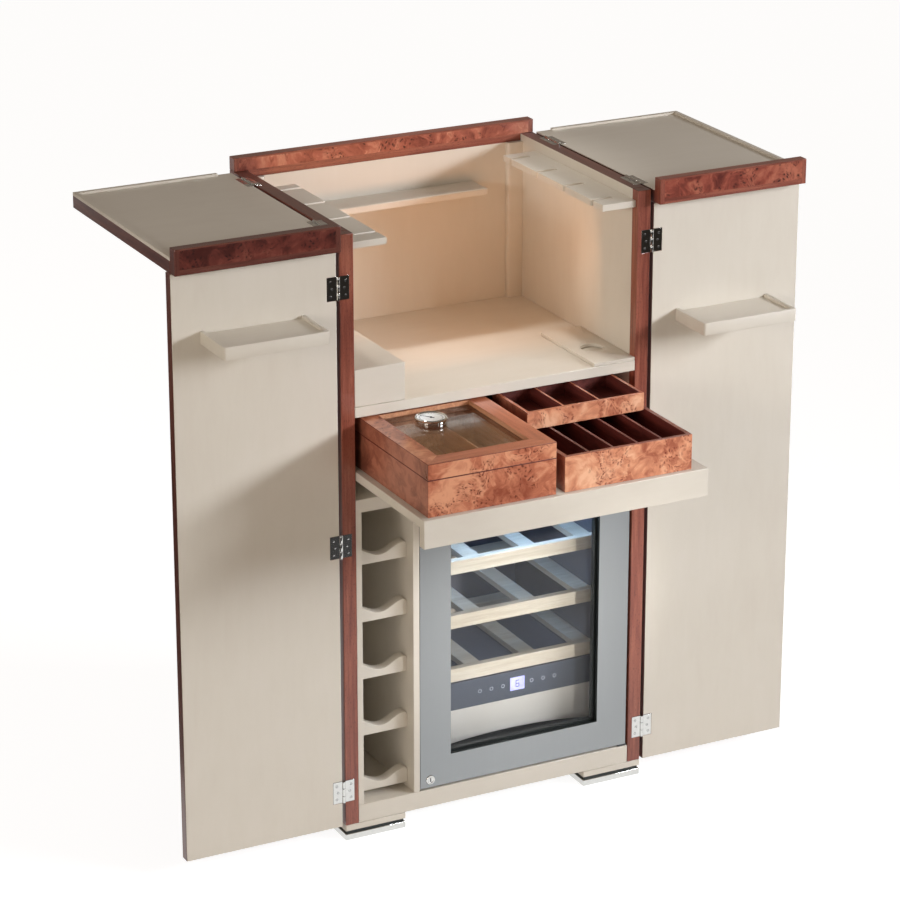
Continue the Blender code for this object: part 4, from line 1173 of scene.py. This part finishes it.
# %% Turned pieces and the lock
LOCK_FACE = (
    (0.0, 0.0010),
    (0.56, 0.0010),
    (0.62, 0.0003),
    (0.70, 0.0),
    (0.92, 0.0002),
    (1.0, 0.0012),
)
KEY_SLOT = (0.0016, 0.0020, 0.0072)
KEY_SLOT_SINK = 0.0004


def turned(profile, centre, along, steps=40, shape=None, index=0):
    """Revolves a half outline of (radius, distance) points round an axis through a centre."""
    axis = "XYZ".index(along)
    others = [other for other in range(3) if other != axis]
    shape = shape or bmesh.new()
    faces = []
    rings = []
    for radius, distance in profile:
        ring = []
        count = steps if radius > 0 else 1
        for step in range(count):
            angle = 2 * math.pi * step / steps
            point = Vector(centre)
            point[axis] += distance
            point[others[0]] += radius * math.cos(angle)
            point[others[1]] += radius * math.sin(angle)
            ring.append(shape.verts.new(point))
        rings.append(ring)
    for first, second in zip(rings, rings[1:]):
        for step in range(steps):
            corners = [first[step % len(first)], first[(step + 1) % len(first)]]
            corners += [second[(step + 1) % len(second)], second[step % len(second)]]
            faces.append(shape.faces.new(dict.fromkeys(corners)))
    bmesh.ops.recalc_face_normals(shape, faces=faces)
    for face in faces:
        face.smooth = True
        face.material_index = index
        for edge in face.edges:
            edge.smooth = edge.calc_face_angle(0.0) < SHARP
    return shape


def make_lock():
    """The face's points are shares of the lock's radius, and depths behind its front."""
    low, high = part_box("cooler_lock")
    centre = (low + high) / 2
    radius = (high.x - low.x) / 2
    front = low.y - centre.y
    back = high.y - centre.y
    profile = [(radius * share, front + depth) for share, depth in LOCK_FACE]
    profile += [(radius, back), (0.0, back)]
    shape = turned(profile, centre, "Y")
    wide, _, tall = KEY_SLOT
    slot_low = Vector((centre.x - wide / 2, low.y + KEY_SLOT_SINK, centre.z - tall / 2))
    add_block(shape, slot_low, slot_low + Vector(KEY_SLOT), 1)
    settle("cooler_lock_finished", shape, [CHROME, INK], "cooler_lock", "cooler_lock")


make_lock()

# %% [markdown]
# ## Growing what repeats
#
# Screws, tick marks, key marks and slats come in rows and rings. Geometry Nodes lay them out: a
# tree with named inputs makes or takes one small form, puts it on a row of points, and turns the
# result into plain mesh. The tree is evaluated once and the mesh is kept, so nothing is left to run
# later.

# %% Geometry Nodes helper


class Grower:
    """A Geometry Nodes tree with named inputs, whose result becomes a plain mesh."""

    def __init__(self, name):
        self.name = name
        self.tree = bpy.data.node_groups.new(name, "GeometryNodeTree")
        for end in ("INPUT", "OUTPUT"):
            self.tree.interface.new_socket("Geometry", in_out=end, socket_type="NodeSocketGeometry")
        self.entry = self.tree.nodes.new("NodeGroupInput")
        self.exit = self.tree.nodes.new("NodeGroupOutput")
        self.settings = {}

    def value(self, name, kind, setting):
        """Adds a named input with the value that the modifier gives it."""
        made = self.tree.interface.new_socket(name, in_out="INPUT", socket_type=f"NodeSocket{kind}")
        self.settings[made.identifier] = setting
        return self.entry.outputs[name]

    def node(self, kind, settings=None, sockets=None, output=0):
        made = self.tree.nodes.new(f"GeometryNode{kind}" if kind[:4] != "Func" else kind)
        for name, value in (settings or {}).items():
            setattr(made, name, value)
        for name, value in (sockets or {}).items():
            if isinstance(value, bpy.types.NodeSocket):
                self.tree.links.new(value, made.inputs[name])
            else:
                made.inputs[name].default_value = value
        return made.outputs[output]

    def row(self, count, first, pitch):
        """Points in a row along X, with named inputs for their number, first place and pitch."""
        return self.node("MeshLine", {"mode": "OFFSET", "count_mode": "TOTAL"}, {
            "Count": self.value("Count", "Int", count),
            "Start Location": self.value("First place", "Vector", first),
            "Offset": self.value("Pitch", "Vector", (pitch, 0.0, 0.0)),
        })

    def grow(self, geometry, finishes, mesh=None):
        """Realizes the geometry, gives each finish to its own faces, and returns the mesh."""
        result = self.node("RealizeInstances", {}, {"Geometry": geometry})
        for finish in finishes:
            sockets = {"Geometry": result, "Material": finish}
            if len(finishes) > 1:
                sockets["Selection"] = self.node("MaterialSelection", {}, {"Material": finish})
            result = self.node("SetMaterial", {}, sockets)
        self.tree.links.new(result, self.exit.inputs["Geometry"])
        holder = bpy.data.objects.new(self.name, mesh or bpy.data.meshes.new(self.name))
        SCENE.collection.objects.link(holder)
        modifier = holder.modifiers.new("grow", "NODES")
        modifier.node_group = self.tree
        for identifier, setting in self.settings.items():
            modifier[identifier] = setting
        graph = bpy.context.evaluated_depsgraph_get()
        grown = bpy.data.meshes.new_from_object(holder.evaluated_get(graph))
        bpy.data.objects.remove(holder)
        return grown


print("trees give plain meshes")

# %% [markdown]
# ## Hinge screws
#
# Each leaf is held by slotted countersunk screws. No two slots line up on real work, so the tree
# turns each head by a random angle from a fixed seed. The leaves lie flat in the wood, with one
# millimetre between them when a door is shut, so the heads stand only a quarter of a millimetre
# proud.

# %% Hinge screws
HEAD_RADIUS = 0.0021
HEAD_RISE = 0.00025
HEAD_STEPS = 20
HEAD_DOME = ((0.0, 1.0), (0.6, 0.85), (0.9, 0.4), (1.0, -1.0), (0.0, -1.0))
SLOT_WIDTH = 0.0005
SLOT_REACH_SHARE = 0.8
SLOT_LIFT_SHARE = 1.02
SLOT_RISE_SHARE = 0.02
RIM_WIDTH = 0.0004
RIM_RISE = 0.00004
SCREW_SEED = 7
DOOR_SCREW_PITCH = 0.013
FLAP_SCREW_PITCH = 0.019
BARREL_REACH = 0.003
DOOR_SCREW_SHARE = 0.56
DOOR_SCREW_ZIGZAG = 0.12
FLAP_SCREW_SHARE = 0.62


def screw_head(along, outward):
    """A slotted head with a dark rim. The dome's points are shares of its radius and rise."""
    dome = [(HEAD_RADIUS * share, outward * HEAD_RISE * rise) for share, rise in HEAD_DOME]
    shape = turned(dome, (0, 0, 0), along, HEAD_STEPS)
    wide = HEAD_RADIUS + RIM_WIDTH
    rim = [
        (HEAD_RADIUS, outward * RIM_RISE),
        (wide, outward * RIM_RISE),
        (wide, -outward * HEAD_RISE),
        (HEAD_RADIUS, -outward * HEAD_RISE),
        (HEAD_RADIUS, outward * RIM_RISE),
    ]
    turned(rim, (0, 0, 0), along, HEAD_STEPS, shape, 1)
    reach = Vector((HEAD_RADIUS * SLOT_REACH_SHARE, SLOT_WIDTH / 2, SLOT_WIDTH / 2))
    reach["XYZ".index(along)] = HEAD_RISE * SLOT_RISE_SHARE
    lift = along_axis(along, outward * HEAD_RISE * SLOT_LIFT_SHARE)
    add_block(shape, lift - reach, lift + reach, 1)
    name = f"screw_head_{along}"
    return bpy.data.objects.new(name, mesh_of(name, shape, [CHROME, INK]))


def leaf_points(node, axis_x, surface):
    """The screws of a leaf: a zigzag of three down a door's leaf, a row of three along a flap's."""
    low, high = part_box(node)
    middle = (low + high) / 2
    far = low.x if abs(low.x - axis_x) > abs(high.x - axis_x) else high.x
    on_door = high.z - low.z > high.y - low.y
    points = []
    for step in (-1, 0, 1):
        share = DOOR_SCREW_SHARE + DOOR_SCREW_ZIGZAG * abs(step) if on_door else FLAP_SCREW_SHARE
        x = axis_x + (far - axis_x) * share
        if on_door:
            points.append((x, surface, middle.z + step * DOOR_SCREW_PITCH))
        else:
            points.append((x, middle.y + step * FLAP_SCREW_PITCH, surface))
    return points


def make_screws(group, along, outward, surface):
    """Screws of all leaves of one kind, one piece for each body that they are screwed to."""
    head = screw_head(along, outward)
    rows = {}
    for node in NODES:
        if node.endswith(group):
            side = node.split("_")[0]
            outer = max((corner.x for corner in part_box(f"{side}_top_post_leaf")), key=abs)
            axis_x = outer - math.copysign(BARREL_REACH, outer)
            rows.setdefault(BODY_OF[node], []).extend(leaf_points(node, axis_x, surface))
    for body, points in rows.items():
        grower = Grower(f"{body}_{group}_screws")
        mesh = bpy.data.meshes.new("screw_places")
        mesh.from_pydata(points, [], [])
        turn = grower.node("FunctionNodeRandomValue", {"data_type": "FLOAT_VECTOR"}, {
            "Max": grower.value("Most turn", "Vector", along_axis(along, math.pi)),
            "Seed": grower.value("Seed", "Int", SCREW_SEED),
        })
        one_head = grower.value("Head", "Object", head)
        info = grower.node("ObjectInfo", {}, {"Object": one_head}, "Geometry")
        placed = grower.node("InstanceOnPoints", {}, {
            "Points": grower.entry.outputs["Geometry"],
            "Instance": info,
            "Rotation": turn,
        })
        settle_mesh(grower.name, grower.grow(placed, [CHROME, INK], mesh), body)
    bpy.data.objects.remove(head)


post_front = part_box("left_front_post")[0].y
for leaf_kind in ("post_leaf", "door_leaf"):
    make_screws(leaf_kind, "Y", -1, post_front)
for leaf_kind in ("wall_leaf", "flap_leaf"):
    make_screws(leaf_kind, "Z", 1, wall_top)

# %% [markdown]
# ## Inside the cooler
#
# Behind the glass are a lamp under the ceiling, a slate panel with a lit display and touch keys,
# and a pale moulded cover over the low bay. The lamp is half a rod and the cover a plate with an
# arched lower edge, so both are outlines pulled along one axis.

# %% Cooler lamp and low bay
COOLER_WALL = 0.028
LAMP_RADIUS = 0.006
LAMP_INSET = 0.035
LAMP_SHORT = 0.030
ROUND_STEPS = 10
COVER_GAP = 0.012
COVER_ARCH = 0.015
COVER_SETBACK = 0.0015
COVER_THICKNESS = 0.0035
COVER_STEPS = 18
DOOR_GAP = 0.0009
PANEL_PROUD = 0.001

case_low, case_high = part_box("cooler_case")
inner_left = case_low.x + COOLER_WALL
inner_right = case_high.x - COOLER_WALL
case_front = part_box("cooler_door_frame")[1].y + DOOR_GAP
panel_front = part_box("cooler_shelf_1")[0].y - PANEL_PROUD
bay_floor = case_low.z + COOLER_WALL


def make_cooler_lamp():
    ceiling = case_high.z - COOLER_WALL
    outline = []
    for step in range(ROUND_STEPS + 1):
        angle = math.pi * step / ROUND_STEPS
        y = case_front + LAMP_INSET + LAMP_RADIUS * math.cos(angle)
        outline.append((y, ceiling - LAMP_RADIUS * math.sin(angle)))
    shape = pulled(outline, "X", inner_left + LAMP_SHORT, inner_right - LAMP_SHORT)
    soften(shape, FINE_EDGE)
    settle("cooler_lamp", shape, [LAMP], "carcass")


def make_low_bay():
    middle = (inner_left + inner_right) / 2
    half = (inner_right - inner_left) / 2
    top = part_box("cooler_shelf_1")[0].z - PANEL_HEIGHT
    outline = [(inner_right, top), (inner_left, top)]
    for step in range(COVER_STEPS + 1):
        share = 2 * step / COVER_STEPS - 1
        height = bay_floor + COVER_GAP + COVER_ARCH * (1 - share ** 2)
        outline.append((middle + half * share, height))
    front = panel_front + COVER_SETBACK
    shape = pulled(outline, "Y", front, front + COVER_THICKNESS)
    soften(shape, FINE_EDGE)
    settle("low_bay_cover", shape, [PALE_PLASTIC], "carcass")


make_cooler_lamp()
make_low_bay()

# %% [markdown]
# ## Display and touch keys
#
# The display is a small lit plate, and its one figure is six bars, as any such display would draw
# it. The touch keys are printed rings. They come in rows at one pitch, so a tree puts a ring on
# each point of a line, and the two rows differ only in where the line starts.

# %% Display and touch keys
DISPLAY_SHARE = 0.54
DISPLAY_SIZE = (0.030, 0.026)
DISPLAY_RISE = 0.0008
BAR_LENGTH = 0.0062
BAR_WIDTH = 0.0011
KEY_COUNT = 3
KEY_PITCH = 0.024
KEY_RADIUS = 0.0032
KEY_LINE = 0.0007
KEY_LINE_SIDES = 8
UPRIGHT_TURN = (math.pi / 2, 0.0, 0.0)
BAR_PROUD = 0.0003

display_x = inner_left + (inner_right - inner_left) * DISPLAY_SHARE
display_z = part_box("cooler_shelf_1")[0].z - PANEL_HEIGHT / 2


def make_display():
    wide, tall = (size / 2 for size in DISPLAY_SIZE)
    front = panel_front - DISPLAY_RISE
    shape = bmesh.new()
    low = (display_x - wide, front, display_z - tall)
    add_block(shape, low, (display_x + wide, panel_front, display_z + tall))
    soften(shape, FINE_EDGE)
    flat_bar = Vector((BAR_LENGTH, BAR_PROUD, BAR_WIDTH)) / 2
    upright_bar = Vector((BAR_WIDTH, BAR_PROUD, BAR_LENGTH)) / 2
    bars = [(0, level, flat_bar) for level in (-1, 0, 1)]
    bars += [(-0.5, 0.5, upright_bar), (-0.5, -0.5, upright_bar), (0.5, -0.5, upright_bar)]
    for sideways, level, reach in bars:
        centre = Vector((display_x, front, display_z)) + BAR_LENGTH * Vector((sideways, 0, level))
        add_block(shape, centre - reach, centre + reach, 1)
    settle("cooler_display", shape, [DISPLAY, INK], "carcass")


def make_keys(name, start):
    grower = Grower(name)
    first = (start, panel_front - KEY_LINE / 2, display_z)
    line = grower.row(KEY_COUNT, first, KEY_PITCH)
    radius = grower.value("Radius", "Float", KEY_RADIUS)
    ring = grower.node("CurvePrimitiveCircle", {}, {"Radius": radius})
    thin = {"Resolution": KEY_LINE_SIDES, "Radius": KEY_LINE}
    wire = grower.node("CurvePrimitiveCircle", {}, thin)
    mark = grower.node("CurveToMesh", {}, {"Curve": ring, "Profile Curve": wire})
    placed = grower.node("InstanceOnPoints", {}, {
        "Points": line,
        "Instance": mark,
        "Rotation": UPRIGHT_TURN,
    })
    settle_mesh(name, grower.grow(placed, [PRINT]), "carcass")


make_display()
make_keys("left_touch_keys", display_x - DISPLAY_SIZE[0] - (KEY_COUNT - 1) * KEY_PITCH)
make_keys("right_touch_keys", display_x + DISPLAY_SIZE[0])

# %% [markdown]
# ## Cooler door seal
#
# A flat rubber seal goes round the back of the door. It is a strip on a path, so a tree runs a
# narrow outline round a rectangle with rounded corners. Door and case are nine tenths of a
# millimetre apart.

# %% Cooler door seal
SEAL_WIDTH = 0.010
SEAL_THICKNESS = 0.0007
SEAL_INSET = 0.016
SEAL_LIFT = 0.0001
SEAL_CORNER_STEPS = 6


def make_seal():
    low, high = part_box("cooler_door_frame")
    grower = Grower("cooler_door_seal")
    path = grower.node("CurvePrimitiveQuadrilateral", {"mode": "RECTANGLE"}, {
        "Width": grower.value("Width", "Float", high.x - low.x - 2 * SEAL_INSET),
        "Height": grower.value("Height", "Float", high.z - low.z - 2 * SEAL_INSET),
    })
    rounded = grower.node("FilletCurve", {"mode": "POLY"}, {
        "Curve": path,
        "Radius": grower.value("Corner", "Float", SEAL_INSET),
        "Count": SEAL_CORNER_STEPS,
    })
    strip = grower.node("CurvePrimitiveQuadrilateral", {"mode": "RECTANGLE"}, {
        "Width": grower.value("Strip width", "Float", SEAL_WIDTH),
        "Height": grower.value("Strip thickness", "Float", SEAL_THICKNESS),
    })
    seal = grower.node("CurveToMesh", {}, {"Curve": rounded, "Profile Curve": strip})
    middle = (low + high) / 2
    placed = grower.node("Transform", {}, {
        "Geometry": seal,
        "Translation": (middle.x, high.y + SEAL_THICKNESS / 2 + SEAL_LIFT, middle.z),
        "Rotation": UPRIGHT_TURN,
    })
    mesh = grower.grow(placed, [BLACK_RUBBER_AND_SHADE])
    depth = [vertex.co.y for vertex in mesh.vertices]
    near, far = round(min(depth), 5), round(max(depth), 5)
    print("seal from", near, "to", far, "gap from", round(high.y, 5))
    settle_mesh("cooler_door_seal", mesh, "cooler_door")


make_seal()

# %% [markdown]
# ## Hygrometer
#
# On the lid's glass lies a hygrometer: a turned case with a chrome bezel, a paper dial, a ring of
# tick marks and a needle. It is kept just lower than the lid's rails, so that the tray still slides
# in. The case is one half outline revolved, and a tree turns each tick to point away from the
# middle.

# %% Hygrometer
GAUGE_RADIUS = 0.029
GAUGE_CLEARANCE = 0.0008
GAUGE_SHARE = (0.46, 0.79)
DIAL_DROP = 0.0026
BEZEL_WIDTH = 0.0046
FOOT_INSET = 0.0025
FOOT_CHAMFER = 0.0007
WALL_INSET = 0.0018
BEZEL = (
    (WALL_INSET, -0.0048),
    (0.0004, -0.0042),
    (0.0, -0.0034),
    (0.0003, -0.0014),
    (0.0014, -0.0003),
    (0.0026, 0.0),
    (0.0038, -0.0008),
    (BEZEL_WIDTH, -DIAL_DROP),
)
GAUGE_STEPS = 72
TICK_INSET = 0.0085
TICK_COUNT = 48
TICK_SIZE = (0.0030, 0.0006, 0.0003)
NEEDLE_ANGLE = math.radians(128)
NEEDLE_LENGTH = 0.021
NEEDLE_WIDTHS = ((0.2, 0.0008), (-0.3, 0.0011))
NEEDLE_RISE = (0.0006, 0.0010)
HUB = ((0.0, 0.0018), (0.0014, 0.0016), (0.0022, 0.0), (0.0, 0.0))
HUB_STEPS = 24

glass_low, glass_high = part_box("humidor_glass")
gauge_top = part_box("humidor_lid")[1].z - GAUGE_CLEARANCE
gauge_height = gauge_top - glass_high.z
gauge = Vector((
    glass_low.x + (glass_high.x - glass_low.x) * GAUGE_SHARE[0],
    glass_low.y + (glass_high.y - glass_low.y) * GAUGE_SHARE[1],
    gauge_top,
))


def make_gauge():
    """The bezel's points are distances inside the case's radius, and heights from its top."""
    case = [(0.0, -gauge_height), (GAUGE_RADIUS - FOOT_INSET, -gauge_height)]
    case.append((GAUGE_RADIUS - WALL_INSET, -gauge_height + FOOT_CHAMFER))
    case += [(GAUGE_RADIUS - inset, height) for inset, height in BEZEL]
    shape = turned(case, gauge, "Z", GAUGE_STEPS)
    dial = [case[-1], (0.0, -DIAL_DROP)]
    turned(dial, gauge, "Z", GAUGE_STEPS, shape, 1)
    bmesh.ops.remove_doubles(shape, verts=shape.verts, dist=MERGE_REACH)
    settle("hygrometer", shape, [CHROME, PAPER], "humidor_lid")


def make_ticks():
    grower = Grower("hygrometer_marks")
    circle = grower.node("MeshCircle", {}, {
        "Vertices": grower.value("Ticks", "Int", TICK_COUNT),
        "Radius": grower.value("Radius", "Float", GAUGE_RADIUS - TICK_INSET),
    })
    tick = grower.node("MeshCube", {}, {"Size": grower.value("Tick", "Vector", TICK_SIZE)})
    heading = grower.node("FunctionNodeAlignRotationToVector", {"axis": "X"}, {
        "Vector": grower.node("InputPosition"),
    })
    placed = grower.node("InstanceOnPoints", {}, {
        "Points": circle,
        "Instance": tick,
        "Rotation": heading,
    })
    dial = gauge - Vector((0, 0, DIAL_DROP))
    moved = grower.node("Transform", {}, {"Geometry": placed, "Translation": dial})
    settle_mesh("hygrometer_marks", grower.grow(moved, [INK]), "humidor_lid")


def make_needle():
    """A blade that is widest behind the hub, with half widths at shares of its length."""
    tip = Vector((math.cos(NEEDLE_ANGLE), math.sin(NEEDLE_ANGLE), 0.0))
    aside = Vector((-tip.y, tip.x, 0.0))
    widths = [(tip * NEEDLE_LENGTH * share, aside * half) for share, half in NEEDLE_WIDTHS]
    points = [tip * NEEDLE_LENGTH]
    points += [place + half for place, half in widths]
    points += [place - half for place, half in reversed(widths)]
    outline = [(gauge + point).xy for point in points]
    bottom, top = (gauge.z - DIAL_DROP + rise for rise in NEEDLE_RISE)
    shape = pulled(outline, "Z", bottom, top)
    turned(HUB, gauge - Vector((0, 0, DIAL_DROP)), "Z", HUB_STEPS, shape)
    settle("hygrometer_needle", shape, [INK], "humidor_lid")


make_gauge()
make_ticks()
make_needle()
print("hygrometer at", [round(value, 4) for value in gauge])

# %% [markdown]
# ## Cedar lining
#
# A humidor is lined with thin cedar boards and has a slatted floor, so that damp air can pass under
# what lies on it. The boards are four sides and a partition in one mesh, and the slats repeat at
# one pitch, so a tree lays them on a line.

# %% Cedar lining and slats
BOX_WALL = 0.010
BOX_FLOOR = 0.008
BOX_MOUTH = 0.007
LINING_BOARD = 0.003
PARTITION_SHARE = 0.72
PARTITION_DROP = 0.012
SLAT_COUNT = 11
SLAT_HEIGHT = 0.004
SLAT_SHARE = 0.8
SLAT_PLAY = 0.001
SLAT_LIFT = 0.0002

box_low, box_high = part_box("humidor_box")


def make_lining():
    low = box_low + Vector((BOX_WALL, BOX_WALL, BOX_FLOOR))
    high = box_high - Vector((BOX_WALL, BOX_WALL, BOX_MOUTH))
    left, right = low.x + LINING_BOARD, high.x - LINING_BOARD
    front, back = low.y + LINING_BOARD, high.y - LINING_BOARD
    shape = bmesh.new()
    add_block(shape, low, (left, high.y, high.z))
    add_block(shape, (right, low.y, low.z), high)
    add_block(shape, (left, low.y, low.z), (right, front, high.z))
    add_block(shape, (left, back, low.z), (right, high.y, high.z))
    partition = low.x + (high.x - low.x) * PARTITION_SHARE
    partition_top = high.z - PARTITION_DROP
    add_block(shape, (partition, front, low.z), (partition + LINING_BOARD, back, partition_top))
    soften(shape, FINE_EDGE)
    settle("humidor_lining", shape, [CEDAR], "tray")
    return low, high


def make_slats(low, high):
    pitch = (high.x - low.x - 2 * LINING_BOARD) / SLAT_COUNT
    size = (pitch * SLAT_SHARE, high.y - low.y - 2 * LINING_BOARD - SLAT_PLAY, SLAT_HEIGHT)
    middle_y = (low.y + high.y) / 2
    first = (low.x + LINING_BOARD + pitch / 2, middle_y, low.z + SLAT_HEIGHT / 2 + SLAT_LIFT)
    grower = Grower("humidor_slats")
    line = grower.row(SLAT_COUNT, first, pitch)
    slat = grower.node("MeshCube", {}, {"Size": grower.value("Slat", "Vector", size)})
    placed = grower.node("InstanceOnPoints", {}, {"Points": line, "Instance": slat})
    settle_mesh("humidor_slats", grower.grow(placed, [CEDAR]), "tray")


make_slats(*make_lining())
